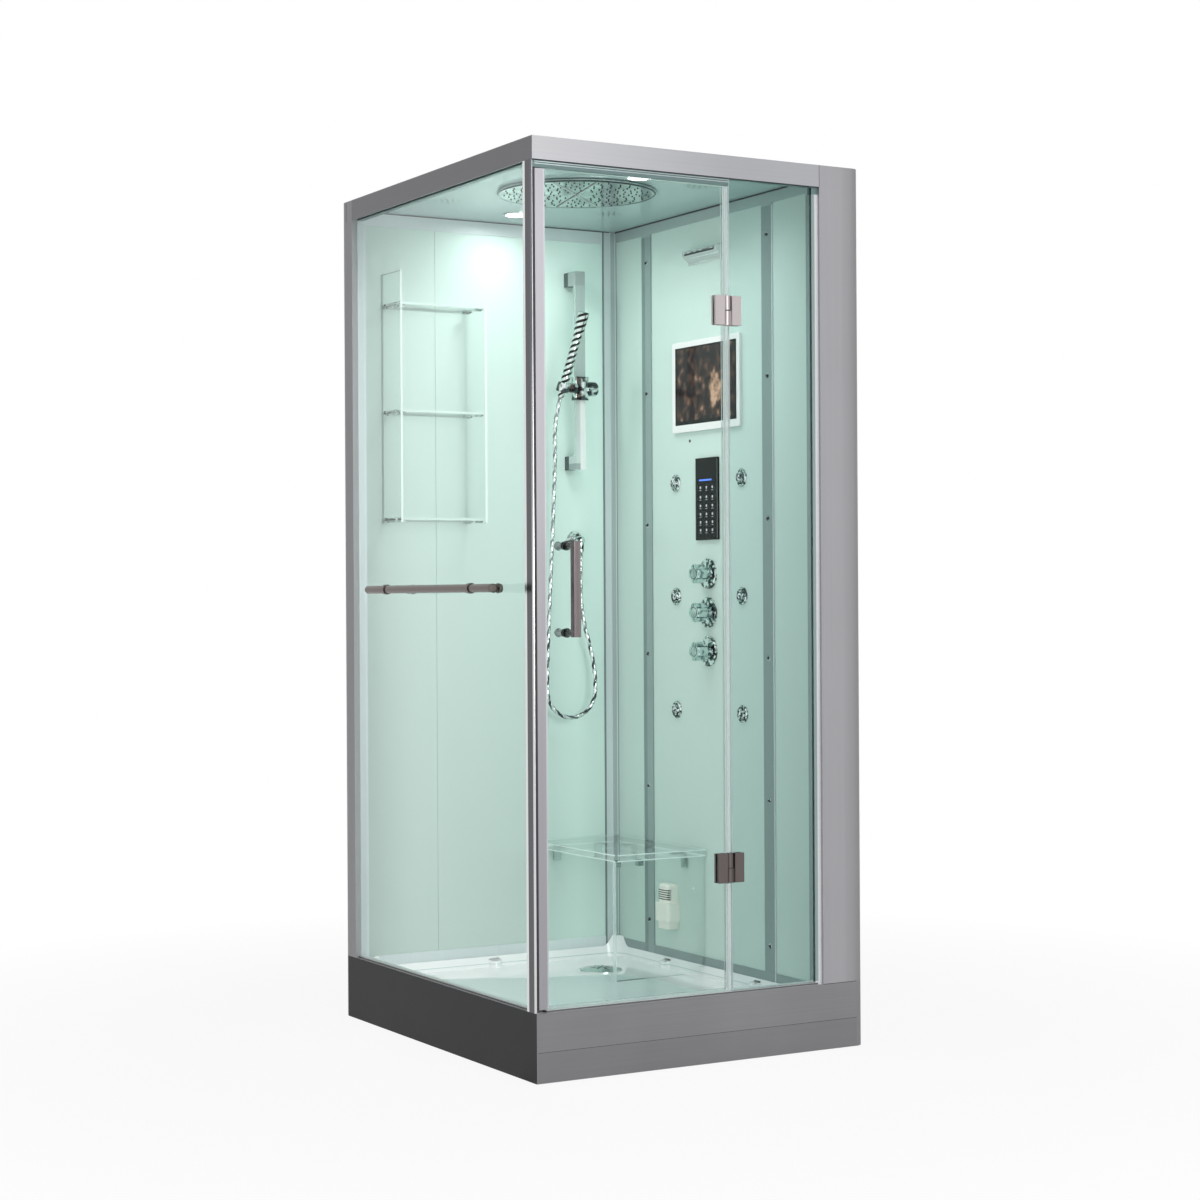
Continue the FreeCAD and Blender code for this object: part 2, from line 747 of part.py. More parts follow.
# ---------------------------------------------------------------- walls
def make_back_wall():
    """Rear wall: two glass panels in a frame, and the corner profile."""
    z0, z1 = wall_foot_height, ceiling_height
    y0, y1 = wall_frame_y, wall_frame_y + wall_frame_depth
    left0 = left_x + rear_column_width
    left1 = left0 + back_left_stile
    right1 = right_face - corner_profile_width
    right0 = right1 - back_right_stile
    rail_z0, rail_z1 = z0 + back_bottom_rail, z1 - back_top_rail
    save("back_wall_frame",
         box(left0, left1, y0, y1, z0, z1),
         box(right0, right1, y0, y1, z0, z1),
         box(left1, right0, y0, y1, z0, rail_z0),
         box(left1, right0, y0, y1, rail_z1, z1),
         box(right1, wall_frame_x, corner_profile_y, y1, z0, z1))
    seam = panel_seam_gap / 2
    back = back_face + wall_panel
    left_panel = box(left1, back_panel_seam_x - seam, back_face, back, rail_z0, rail_z1)
    right_panel = box(back_panel_seam_x + seam, right0, back_face, back, rail_z0, rail_z1)
    hole = rod(outlet_tail_radius + pipe_hole_clearance, (outlet_x, back_face - spare, outlet_z), (0, 1, 0),
               wall_panel + 2 * spare)
    save("back_wall_panels", left_panel, right_panel.cut(hole))


def make_right_wall():
    """Right wall: three glass panels in a frame with two cover strips."""
    z0, z1 = wall_foot_height, ceiling_height
    x0, x1 = wall_frame_x, wall_frame_x + wall_frame_depth
    front = front_y + front_column_depth
    stile = front + right_front_stile
    rail_z0, rail_z1 = z0 + right_bottom_rail, z1 - right_top_rail
    pieces = [
        box(x0, x1, stile, corner_profile_y, z0, rail_z0),
        box(x0, x1, stile, corner_profile_y, rail_z1, z1),
        box(x0, x1, front, stile, z0, z1),
        box(x0, x1, corner_profile_y, wall_frame_y + wall_frame_depth, z0, z1),
    ]
    half = strip_width / 2
    for y in strip_places:
        strip = box(x0, x1, y - half, y + half, rail_z0, rail_z1)
        for side in (-1, 1):
            outer, inner = y + side * half, y + side * (half - strip_lap)
            strip = strip.cut(box(right_face, right_face + wall_panel, min(outer, inner), max(outer, inner),
                                  rail_z0, rail_z1))
        pieces.append(strip)
    save("right_wall_frame", *pieces)

    rear_strip, front_strip = strip_places
    reach = half - strip_lap
    spans = [(rear_strip + reach, corner_profile_y), (front_strip + reach, rear_strip - reach),
             (stile, front_strip - reach)]
    panels = [box(right_face, right_face + wall_panel, a, b, rail_z0, rail_z1) for a, b in spans]
    panels[1] = panels[1].cut(wall_cutouts())
    save("right_wall_panels", *panels)


def wall_cutouts():
    """Openings in the middle panel of the right wall for what passes through it."""
    x = right_face - spare
    deep = wall_panel + 2 * spare
    cuts = []
    for width, height, z, flange in (
            (monitor_width, monitor_height, monitor_centre_z, monitor_flange),
            (control_width, control_height, control_centre_z, control_flange)):
        half_w, half_h = width / 2 - flange, height / 2 - flange
        cuts.append(box(x, x + deep, fittings_y - half_w, fittings_y + half_w, z - half_h, z + half_h))
    holes = [(valve_neck_radius, fittings_y, z) for z in knob_heights]
    holes += [(jet_sleeve_radius, y, z) for y, z in jet_places()]
    holes.append((steam_pipe_radius, steam_outlet_y, steam_pipe_z))
    holes.append((spout_pipe_radius, fittings_y, spout_centre_z))
    for radius, y, z in holes:
        cuts.append(rod(radius + pipe_hole_clearance, (x, y, z), (1, 0, 0), deep))
    return cuts


def jet_places():
    """Centres of the six body jets on the right wall."""
    return [(fittings_y + side * jet_spacing_y / 2, z) for z in jet_heights for side in (1, -1)]


# ---------------------------------------------------------------- roof
def make_fascia():
    """Band round the roof between the two columns, in four panels."""
    z0, z1 = fascia_bottom, cabin_height
    t = fascia_thickness
    ring = base_plan(0, z0, z1).cut(base_plan(t, z0 - spare, z1 + spare))
    zones = [
        (left_x + t, front_column_x, front_y - spare, front_y + t),
        (left_x - spare, left_x + t, front_y - spare, rear_column_y),
        (left_x + rear_column_return, right_x - outer_corner_radius, rear_y - t, rear_y + spare),
        (right_x - outer_corner_radius, right_x + spare, front_y + front_column_depth, rear_y + spare),
    ]
    save("roof_fascia", *[ring.common(box(*zone, z0 - spare, z1 + spare)) for zone in zones])


def make_ceiling():
    """Ceiling panel with its grilles, rain head, downlights and speakers."""
    under, top = ceiling_height, ceiling_height + ceiling_thickness
    deep = ceiling_thickness + 2 * spare
    panel = base_plan(fascia_thickness, under, top)
    panel = panel.cut(box(front_column_x, right_x, front_y, front_y + front_column_depth,
                          under - spare, top + spare))
    panel = panel.cut(box(left_x - spare, left_x + rear_column_return, rear_column_y, rear_y,
                          under - spare, top + spare))
    for x, y in downlight_places:
        panel = panel.cut(rod(downlight_radius - downlight_rim, (x, y, under - spare), (0, 0, 1), deep))
    for x, y in speaker_places + (fan_place,):
        panel = panel.cut(grille_holes(x, y, under - spare, deep))
    x, y = rain_head_place
    panel = panel.cut(rod(rain_head_stem_radius + pipe_hole_clearance, (x, y, under - spare), (0, 0, 1), deep))
    save("roof_panel", panel)

    thick = rain_head_thickness
    full = thick + rain_head_gap
    save("rain_head", turned(
        [(rain_head_radius - 3, 0), (rain_head_radius, 2.5), (rain_head_radius, thick),
         (rain_head_hub, thick), (rain_head_hub, full), (rain_head_stem_radius, full),
         (rain_head_stem_radius, full + rain_head_stem)], (x, y, under - full), (0, 0, 1)))

    can_radius = downlight_radius - downlight_rim - fit_clearance
    profile = [(downlight_radius, 0), (downlight_radius, downlight_lip), (can_radius, downlight_lip),
               (can_radius, downlight_can)]
    save("downlights", *[turned(profile, (x, y, under - downlight_lip), (0, 0, 1))
                         for x, y in downlight_places])

    r, deep = speaker_radius, speaker_depth
    profile = [(r, 0), (r, 4), (r - 12, 8), (r - 20, deep)]
    save("ceiling_speakers", *[turned(profile, (x, y, top), (0, 0, 1)) for x, y in speaker_places])


def make_fan():
    """Extractor fan on the ceiling: housing with a four-arm guard, and a bladed impeller."""
    x, y = fan_place
    base = ceiling_height + ceiling_thickness
    reach = fan_radius + fan_wall
    housing = rounded_block(x - reach, x + reach, y - reach, y + reach, base, cabin_height - spare, fan_wall * 2)
    housing = housing.cut(rod(fan_radius, (x, y, base - spare), (0, 0, 1), fan_depth + spare))
    arms = [box(x - reach, x + reach, y - fan_wall, y + fan_wall, base, cabin_height + spare),
            box(x - fan_wall, x + fan_wall, y - reach, y + reach, base, cabin_height + spare)]
    vent = tube(fan_radius, fan_hub_radius + fan_wall, (x, y, base - spare), (0, 0, 1), 2 * fan_depth).cut(arms)
    shaft_top = fan_depth + spare
    bore = rod(fan_shaft_radius + running_clearance, (x, y, base), (0, 0, 1), shaft_top + 2 * spare)
    save("fan_housing", housing.cut(vent).cut(bore))

    hub_top = fan_depth - 3 * spare
    rotor = turned([(fan_hub_radius, 0), (fan_hub_radius, hub_top), (fan_shaft_radius, hub_top),
                    (fan_shaft_radius, shaft_top)], (x, y, base + 1.5), (0, 0, 1))
    blades = []
    for k in range(fan_blades):
        blade = box(fan_hub_radius - 2, fan_radius - 2, -1, 1, base + 3, base + hub_top)
        blade.rotate(Vector(0, 0, base + fan_depth / 2), Vector(1, 0, 0), fan_blade_pitch)
        blade.rotate(Vector(0, 0, 0), Vector(0, 0, 1), k * 360 / fan_blades)
        blade.translate(Vector(x, y, 0))
        blades.append(blade)
    save("fan_impeller", fused(rotor, *blades))


def grille_holes(x, y, z, length):
    """Six-sided holes in rings about a centre, as one cutting tool."""
    holes = []
    for ring, count in grille_rings:
        for k in range(count):
            turn = 2 * math.pi * k / count
            cx, cy = x + ring * math.cos(turn), y + ring * math.sin(turn)
            corners = [(cx + grille_hole * math.cos(math.pi * c / 3), cy + grille_hole * math.sin(math.pi * c / 3))
                       for c in range(6)]
            holes.append(plate(corners, z, z + length))
    return Part.makeCompound(holes)


# ---------------------------------------------------------------- right wall fittings
def wall_unit(z, width, height, proud, depth, flange, corner):
    """Face plate on the right wall with the box behind it that fills its cut-out."""
    x, y = right_face, fittings_y
    w, h = width / 2, height / 2
    face = box(x - proud, x, y - w, y + w, z - h, z + h)
    face = round_edges(face, corner, lambda e: abs(e.Vertexes[0].X - e.Vertexes[-1].X) > proud - spare)
    inset = flange + fit_clearance
    return fused(face, box(x, x + depth, y - w + inset, y + w - inset, z - h + inset, z + h - inset))


def make_screens():
    """Screen in its bezel, and the control panel below it."""
    z, b = monitor_centre_z, monitor_border
    bezel = wall_unit(z, monitor_width, monitor_height, monitor_proud, monitor_depth, monitor_flange, 6)
    w, h = monitor_width / 2, monitor_height / 2
    front = right_face - monitor_proud
    back = front + screen_recess + screen_thickness
    sides = (fittings_y - w + b, fittings_y + w - b, z - h + b + monitor_chin, z + h - b)
    save("monitor_bezel", bezel.cut(box(front - spare, back, *sides)))
    save("monitor_screen", box(front + screen_recess, back, *sides))
    save("control_panel", wall_unit(control_centre_z, control_width, control_height, control_proud,
                                    control_depth, control_flange, 3))


def make_mixers():
    """Three lobed knobs on their plates, and the mixer bodies on one manifold behind the wall."""
    x, y = right_face, fittings_y
    t = knob_plate_thickness
    plates = []
    for name, z in zip(("top", "middle", "bottom"), knob_heights):
        disc = turned([(knob_plate_radius, 0), (knob_plate_radius, t - 2), (knob_plate_radius - 2, t)],
                      (x, y, z), (-1, 0, 0))
        plates.append(disc.cut(rod(valve_neck_radius + fit_clearance, (x + spare, y, z), (-1, 0, 0),
                                   t + 2 * spare)))
        start = x - t - fit_clearance
        neck = knob_neck_length
        reach = neck + knob_length
        knob = turned([(knob_neck_radius, 0), (knob_neck_radius, neck - 2), (knob_radius - 2, neck),
                       (knob_radius, neck + 2), (knob_radius, reach - 2), (knob_radius - 2, reach)],
                      (start, y, z), (-1, 0, 0))
        offset = knob_radius + knob_groove_offset
        grooves = []
        for k in range(knob_lobes):
            turn = 2 * math.pi * (k + 0.5) / knob_lobes
            place = (start - neck, y + offset * math.cos(turn), z + offset * math.sin(turn))
            grooves.append(rod(knob_groove_radius, place, (-1, 0, 0), knob_length + spare))
        bore = rod(valve_stem_radius + running_clearance, (start + spare, y, z), (-1, 0, 0),
                   valve_stem_reach + 4 * spare)
        save("valve_knob_" + name, knob.cut(grooves).cut(bore))
    save("valve_plates", *plates)

    back = x + wall_panel
    parts = []
    for z in knob_heights:
        parts.append(turned([(valve_stem_radius, -t - wall_panel - valve_stem_reach),
                             (valve_stem_radius, -t - wall_panel + spare),
                             (valve_neck_radius, -t - wall_panel + spare), (valve_neck_radius, 0),
                             (valve_body_radius, 0), (valve_body_radius, valve_body_length)],
                            (back, y, z), (1, 0, 0)))
    low, high = knob_heights[-1] - manifold_overrun, knob_heights[0] + manifold_overrun
    middle = back + valve_body_length / 2 + spare
    for side in (-1, 1):
        pipe_y = y + side * manifold_pipe_spacing / 2
        parts.append(turned([(inlet_radius, -inlet_length), (inlet_radius, 0), (manifold_pipe_radius, 0),
                             (manifold_pipe_radius, high - low)], (middle, pipe_y, low), (0, 0, 1)))
    save("valve_manifold", fused(parts[0], *parts[1:]))


def make_jets():
    """Six jets: a ring with a sleeve through the wall, and a ball nozzle that swivels in it."""
    x = right_face
    ball = jet_ball_radius
    seat = ball + slide_clearance
    rim = ball * 0.7
    belt = math.sqrt(ball ** 2 - jet_belt ** 2)
    half_slot = jet_slot_length / 2
    rings = []
    for number, (y, z) in enumerate(jet_places(), 1):
        ring = turned([(jet_radius - 2.5, -jet_proud), (jet_radius, -jet_proud / 2), (jet_radius, 0),
                       (jet_sleeve_radius, 0), (jet_sleeve_radius, jet_sleeve_length)], (x, y, z), (1, 0, 0))
        rings.append(ring.cut(turned([(seat, -16), (seat, 0), (seat + 5, 6)], (x, y, z), (-1, 0, 0))))
        nozzle = turned([(rim, -rim), (belt, -jet_belt), (belt, jet_belt), (rim, rim), (rim - 3, rim - 2)],
                        (x + 2, y, z), (-1, 0, 0))
        slots = []
        for k in (-1, 0, 1):
            at = z + k * jet_slot_spacing
            slots.append(box(x - rim - 2, x - rim + 6, y - half_slot, y + half_slot,
                             at - jet_slot_width / 2, at + jet_slot_width / 2))
        save("jet_nozzle_%d" % number, nozzle.cut(slots))
    save("jet_rings", *rings)


def make_spout():
    """Waterfall spout: a wedge with a wide slot, fed through the wall."""
    x, y, z = right_face, fittings_y, spout_centre_z
    w, h = spout_width / 2, spout_height / 2
    tip = x - spout_depth
    profile = [(x, z + h), (tip + spout_edge, z + h), (tip, z + h - spout_edge), (tip, z + 2), (x - 6, z - h),
               (x, z - h)]
    body = polygon_face([(px, y - w, pz) for px, pz in profile]).extrude(Vector(0, spout_width, 0))
    body = body.cut(box(tip - spare, x - 8, y - w + 9, y + w - 9, z + 2, z + 2 + spout_slot))
    save("waterfall_spout", fused(body, rod(spout_pipe_radius, (x, y, z), (1, 0, 0), spout_depth)))


def make_steam_outlet():
    """Steam outlet in three steps, foot, cup and slotted dome, fed through the wall."""
    x, y = right_face, steam_outlet_y
    z = steam_outlet_bottom
    steps = []
    for (width, depth, height), radius in zip((steam_foot, steam_cup, steam_dome), (8, 10, 12)):
        steps.append(rounded_part(x, y, width / 2, depth, z, z + height, radius))
        z += height
    dome_bottom = z - steam_dome[2]
    dome = round_edges(steps[2], 8, lambda e: e.BoundBox.ZMin > z - spare)
    louvres = []
    for k in range(steam_slots):
        low = dome_bottom + 8 + steam_slot_pitch * k
        louvres.append(box(x - 40, x - 20, y - 30, y + 30, low, low + steam_slot_pitch / 2))
    inlet = rod(steam_pipe_radius, (x, y, steam_pipe_z), (1, 0, 0), 30)
    save("steam_outlet", fused(steps[0], steps[1], dome.cut(louvres), inlet))


def rounded_part(x, y, half_width, depth, z0, z1, radius):
    """Block against the right wall whose two outer upright edges are rounded."""
    solid = box(x - depth, x, y - half_width, y + half_width, z0, z1)
    return round_edges(solid, radius, upright_at((x - depth, y - half_width), (x - depth, y + half_width)))


# ---------------------------------------------------------------- rear wall fittings
def make_shelves():
    """Glass shelf unit on the rear wall; its left side plate stands above the top shelf."""
    y0, y1 = back_face - shelf_depth, back_face
    bottom = shelf_heights[-1] - shelf_plate_foot
    t = shelf_plate
    save("shelf_side_plates",
         box(shelf_left_x, shelf_left_x + t, y0, y1, bottom, shelf_left_plate_top),
         box(shelf_right_x - t, shelf_right_x, y0, y1, bottom, shelf_heights[0]))
    inner0, inner1 = shelf_left_x + t, shelf_right_x - t
    save("glass_shelves", *[box(inner0, inner1, y0 + shelf_setback, y1, z - t, z) for z in shelf_heights])
    length, width, thick = shelf_clip
    clips = []
    for z in shelf_heights:
        for x0 in (inner0, inner1 - length):
            for y in (y0 + shelf_clip_inset, y1 - shelf_clip_inset):
                clips.append(box(x0, x0 + length, y - width / 2, y + width / 2, z - t - thick, z - t))
    save("shelf_clips", *clips)


def unit(vector):
    """Vector of length one."""
    size = math.sqrt(sum(c * c for c in vector))
    return tuple(c / size for c in vector)


def along(start, direction, distance):
    """Point at a distance from a start."""
    return tuple(s + d * distance for s, d in zip(start, direction))


handset_axis = unit([b - a for a, b in zip(holder_seat, handset_top)])
handset_end = along(holder_seat, handset_axis, -handset_below_seat)
rail_front_y = back_face - rail_reach
slider_half_width = rail_width / 2 + slide_clearance + slider_wall
clamp_y = rail_front_y + rail_thickness / 2
pivot_y = holder_seat[1] + holder_pivot_offset


def make_riser_rail():
    """Flat riser rail on two wall brackets."""
    half = rail_width / 2
    rail = box(rail_x - half, rail_x + half, rail_front_y, rail_front_y + rail_thickness,
               rail_bottom + rail_bracket_height, rail_top - rail_bracket_height)
    brackets = [box(rail_x - half, rail_x + half, rail_front_y, back_face, z, z + rail_bracket_height)
                for z in (rail_bottom, rail_top - rail_bracket_height)]
    save("riser_rail", fused(rail, *brackets))


def make_slider():
    """Slider round the rail, with its clamp spindle and the holder's pivot."""
    half, c = rail_width / 2, slide_clearance
    z0, z1 = slider_centre_z - slider_height / 2, slider_centre_z + slider_height / 2
    front, rear = rail_front_y - c, rail_front_y + rail_thickness + c
    body = box(rail_x - slider_half_width, rail_x + slider_half_width, front - slider_wall - 4,
               rear + slider_wall, z0, z1)
    body = round_edges(body, 2, lambda e: abs(e.Vertexes[0].Z - e.Vertexes[-1].Z) > slider_height - spare)
    body = body.cut(box(rail_x - half - c, rail_x + half + c, front, rear, z0 - spare, z1 + spare))
    right, left = rail_x + slider_half_width, rail_x - slider_half_width
    spindle = rod(slider_spindle_radius, (right - spare, clamp_y, slider_centre_z), (1, 0, 0), 21)
    pivot = rod(slider_spindle_radius, (left + spare, pivot_y, slider_centre_z), (-1, 0, 0), 14)
    save("slider", fused(body, spindle, pivot))

    r, length = clamp_knob_radius, clamp_knob_length
    knob = turned([(r - 6, 0), (r - 1, 3), (r, 8), (r, length - 4), (r - 3, length)],
                  (right + c, clamp_y, slider_centre_z), (1, 0, 0))
    grooves = []
    for k in range(knob_lobes):
        turn = 2 * math.pi * k / knob_lobes
        place = (right, clamp_y + (r + 2) * math.cos(turn), slider_centre_z + (r + 2) * math.sin(turn))
        grooves.append(rod(4, place, (1, 0, 0), length + 10))
    bore = rod(slider_spindle_radius + running_clearance, (right - spare, clamp_y, slider_centre_z),
               (1, 0, 0), 21.5)
    save("slider_knob", knob.cut(grooves).cut(bore))


def make_holder():
    """Tilting holder whose tapered ring takes the hand shower."""
    hub_x = rail_x - slider_half_width - slide_clearance
    z = slider_centre_z
    hub = rod(holder_hub_radius, (hub_x, pivot_y, z), (-1, 0, 0), holder_hub_length)
    outer, half = holder_ring_outer, holder_ring_half
    ring = turned([(outer - 1, -half), (outer, 3 - half), (outer, half - 2), (outer - 1, half)],
                  holder_seat, handset_axis)
    arm = box(holder_seat[0] + 10, hub_x - 8, pivot_y - 13, pivot_y + 7, z - 9, z + 9)
    pivot_bore = rod(slider_spindle_radius + running_clearance, (hub_x + spare, pivot_y, z), (-1, 0, 0), 14.5)
    grip = handset_grip_radius + slide_clearance
    seat = turned([(grip - 1.0, -half - 3), (grip + 0.9, half + 3)], holder_seat, handset_axis)
    save("handset_holder", fused(hub, ring, arm).cut(pivot_bore).cut(seat))


def make_hand_shower():
    """Baton hand shower with a ribbed grip, tapered where it sits in the holder."""
    length = math.dist(handset_top, handset_end)
    grip = handset_grip_radius
    cone = holder_ring_half + 1.5
    neck = grip - 3
    profile = [(neck - 1, 0), (neck, 4), (neck, handset_below_seat - cone)]
    profile += [(grip - 1.0, handset_below_seat - cone), (grip + 0.7, handset_below_seat + cone)]
    start = handset_below_seat + holder_ring_half + 5
    head = length - handset_head_length
    pitch = (head - start) / handset_ribs
    for k in range(handset_ribs):
        z = start + k * pitch
        profile += [(grip - 0.5, z), (grip + 1.0, z + pitch / 2)]
    profile += [(grip - 0.5, head), (grip + 3, head + 12), (grip + 3.5, length - 3), (grip + 1.5, length)]
    save("hand_shower", turned(profile, handset_end, handset_axis))


def make_outlet():
    """Wall elbow for the hose: rosette, neck, ball corner and nut."""
    r = outlet_rose_radius
    elbow_y = back_face - outlet_reach
    rosette = turned([(outlet_tail_radius, -outlet_tail_length), (outlet_tail_radius, 0), (r, 0), (r, 3),
                      (r - 3, 8), (outlet_elbow_radius, 8), (outlet_elbow_radius, outlet_reach)],
                     (outlet_x, back_face, outlet_z), (0, -1, 0))
    ball = Part.makeSphere(outlet_elbow_radius, Vector(outlet_x, elbow_y, outlet_z))
    nut = rod(outlet_nut_radius, (outlet_x, elbow_y, hose_end_z), (0, 0, 1), outlet_drop)
    save("hose_outlet", fused(rosette, ball, nut))


# free hose: from the hand shower down, round a loose loop and up to the wall outlet
hose_bend = 0.45
hose_first_run = 60.0


def hose_route():
    """Corner points of the hose's run."""
    end_y = back_face - outlet_reach
    return [
        handset_end,
        along(handset_end, handset_axis, -hose_first_run),
        (127, 424, 1486),
        (123, 430, 1320),
        (115, 432, 1150),
        (106, 431, 985),
        (101, 430, 878),
        (103, 429, 816),
        (147, 428, 774),
        (207, 427, 775),
        (250, 427, 817),
        (253, 428, 886),
        (242, 431, 957),
        (221, 434, 1027),
        (212, 437, 1097),
        (outlet_x, end_y, 1168),
        (outlet_x, end_y, hose_end_z),
    ]


def hose_wire(route):
    """Straight runs joined by tangent arcs, each arc as large as its two runs allow."""
    points = [Vector(*p) for p in route]
    edges = []
    radii = []
    last = points[0]
    for before, corner, after in zip(points, points[1:], points[2:]):
        a, b = before - corner, after - corner
        run = min(a.Length, b.Length)
        turn = math.pi - a.getAngle(b)
        cut = hose_bend * run
        radii.append(cut / math.tan(turn / 2))
        a.normalize()
        b.normalize()
        enter, leave = corner + a * cut, corner + b * cut
        sag = radii[-1] * (1 / math.cos(turn / 2) - 1)
        middle = corner + (a + b).normalize() * sag
        edges.append(Part.LineSegment(last, enter).toShape())
        edges.append(Part.Arc(enter, middle, leave).toShape())
        last = leave
    edges.append(Part.LineSegment(last, points[-1]).toShape())
    return Part.Wire(edges), radii


def make_hose():
    """Hose solid: a round section swept along the route."""
    route = hose_route()
    wire, radii = hose_wire(route)
    start = Vector(*route[0])
    direction = Vector(*route[1]) - start
    section = Part.Wire([Part.makeCircle(hose_radius, start, direction)])
    solid = wire.makePipeShell([section], True, False)
    print("hose length %.1f, radii %s" % (wire.Length, [round(r) for r in radii]))
    print("hose volume ratio %.4f" % (solid.Volume / (math.pi * hose_radius ** 2 * wire.Length)))
    save("shower_hose", solid)


# ---------------------------------------------------------------- bench and towel rail
def make_bench():
    """Clear seat in the rear right corner on a clear end panel and metal brackets."""
    x1, y1 = wall_frame_x, corner_profile_y
    under = bench_top - bench_thickness
    seat = box(bench_left_x, x1, bench_front_y, y1, under, bench_top)
    save("bench_seat", round_edges(seat, bench_corner_radius, upright_at((bench_left_x, bench_front_y))))

    foot = tray_floor_height + platform_rise
    leg_y = bench_front_y + bench_leg_inset
    leg_back = leg_y + bench_leg_thickness
    leg = box(bench_left_x + bench_leg_inset / 2, x1 - 1.5, leg_y, leg_back, foot, under)
    ledge_notch = box(x1 - 16, x1 + spare, leg_y - spare, leg_back + spare, foot - spare, wall_foot_height + 4)
    save("bench_leg", leg.cut(ledge_notch))

    half, arm, t = bracket_width / 2, bracket_arm, bracket_thickness
    brackets = []
    for y in bracket_places_right:
        brackets.append(fused(box(x1 - arm, x1, y - half, y + half, under - t, under),
                              box(x1 - t, x1, y - half, y + half, under - arm, under)))
    for x in bracket_places_rear:
        brackets.append(fused(box(x - half, x + half, y1 - arm, y1, under - t, under),
                              box(x - half, x + half, y1 - t, y1, under - arm, under)))
    for x in (bench_left_x + 12, bench_left_x + 80):
        brackets.append(box(x, x + 16, leg_back, leg_back + 16, under - 16, under))
    save("bench_brackets", *brackets)


def make_towel_rail():
    """Bar outside the left pane on two stems, with caps inside the glass."""
    x = left_pane_outer - towel_bar_projection
    r, length, edge = towel_bar_radius, towel_bar_length, stile_wall
    bar = turned([(r - edge, 0), (r, edge), (r, length - edge), (r - edge, length)],
                 (x, towel_bar_centre_y - length / 2, towel_bar_z), (0, 1, 0))
    parts = []
    caps = []
    for side in (-1, 1):
        y = towel_bar_centre_y + side * towel_bar_spacing / 2
        parts.append(turned([(towel_stem_radius, 0), (towel_stem_radius, towel_bar_projection - 4),
                             (towel_rose_radius, towel_bar_projection - 4),
                             (towel_rose_radius, towel_bar_projection)], (x, y, towel_bar_z), (1, 0, 0)))
        parts.append(rod(r + towel_collar, (x, y - towel_collar_length / 2, towel_bar_z), (0, 1, 0),
                         towel_collar_length))
        caps.append(turned(towel_cap, (left_pane_inner, y, towel_bar_z), (1, 0, 0)))
    save("towel_rail", fused(bar, *parts), *caps)


# ---------------------------------------------------------------- services behind the right wall
def make_generator():
    """Steam generator with its pipe, in the space behind the right wall."""
    x0, x1 = wall_frame_x + wall_frame_depth, right_x - fascia_thickness - generator_gap
    y0, z0 = generator_place
    y1 = y0 + generator_length
    case = rounded_block(x0, x1, y0, y1, z0, z0 + generator_height, generator_corner_radius)
    r = steam_pipe_radius
    x, y = right_face + steam_pipe_setback, steam_outlet_y
    top, low = z0 + steam_pipe_rise, steam_pipe_z
    level = rod(r, (x, y1 - spare, top), (0, 1, 0), y - y1 + spare)
    drop = rod(r, (x, y, low), (0, 0, 1), top - low)
    stub = rod(r, (right_face + 30, y, low), (1, 0, 0), x - right_face - 30)
    knees = [Part.makeSphere(r, Vector(x, y, z)) for z in (top, low)]
    save("steam_generator", fused(case, level, drop, stub, *knees))


# ---------------------------------------------------------------- build
make_skirts()
make_tray()
make_undercarriage()
make_waste()
make_uprights()
make_fixed_glass()
make_door_leaf()
make_handle()
make_hinges()
make_back_wall()
make_right_wall()
make_fascia()
make_ceiling()
make_fan()
make_screens()
make_mixers()
make_jets()
make_spout()
make_steam_outlet()
make_shelves()
make_riser_rail()
make_slider()
make_holder()
make_hand_shower()
make_outlet()
make_hose()
make_bench()
make_towel_rail()
make_generator()

os.makedirs("parts", exist_ok=True)
for name, solids in nodes.items():
    shape = solids[0] if len(solids) == 1 else Part.makeCompound(solids)
    shape.exportStep("parts/%s.step" % name)
    if not shape.isValid():
        print("not valid:", name)
print(len(nodes), "nodes")
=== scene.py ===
"""Looks of the steam shower cabin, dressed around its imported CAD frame.

Every CAD node gets its finish here, the small pieces that the CAD leaves out are added
on the bodies that carry them, and a plain studio is set round the whole.
"""
import logging
import math
from dataclasses import dataclass
from enum import Enum
from functools import reduce
from typing import Callable, ClassVar, Iterable, Sequence, Union

import bmesh
import bpy
from mathutils import Matrix, Vector


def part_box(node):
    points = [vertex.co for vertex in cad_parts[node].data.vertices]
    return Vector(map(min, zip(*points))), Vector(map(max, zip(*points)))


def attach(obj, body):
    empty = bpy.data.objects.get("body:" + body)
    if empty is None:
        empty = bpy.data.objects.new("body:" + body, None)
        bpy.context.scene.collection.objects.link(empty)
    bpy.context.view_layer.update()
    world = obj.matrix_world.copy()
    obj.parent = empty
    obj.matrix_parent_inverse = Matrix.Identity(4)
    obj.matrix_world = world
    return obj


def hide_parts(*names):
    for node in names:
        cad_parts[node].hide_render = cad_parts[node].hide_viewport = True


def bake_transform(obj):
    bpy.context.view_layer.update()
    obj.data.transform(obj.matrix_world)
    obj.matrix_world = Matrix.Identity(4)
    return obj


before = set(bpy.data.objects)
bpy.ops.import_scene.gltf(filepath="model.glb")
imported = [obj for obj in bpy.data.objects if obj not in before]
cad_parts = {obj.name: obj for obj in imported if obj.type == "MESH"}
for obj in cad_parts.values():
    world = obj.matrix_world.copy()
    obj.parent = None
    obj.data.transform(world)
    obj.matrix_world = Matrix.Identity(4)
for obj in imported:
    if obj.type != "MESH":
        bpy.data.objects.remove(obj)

log = logging.getLogger("cabin")
Point = Sequence[float]
Colour = tuple[float, float, float]
Value = Union["Sock", float, Sequence[float]]
Stops = tuple[tuple[float, Colour], ...]
Bands = tuple[tuple[str, float, float, Colour], ...]
Places = tuple[tuple[str, float], ...]


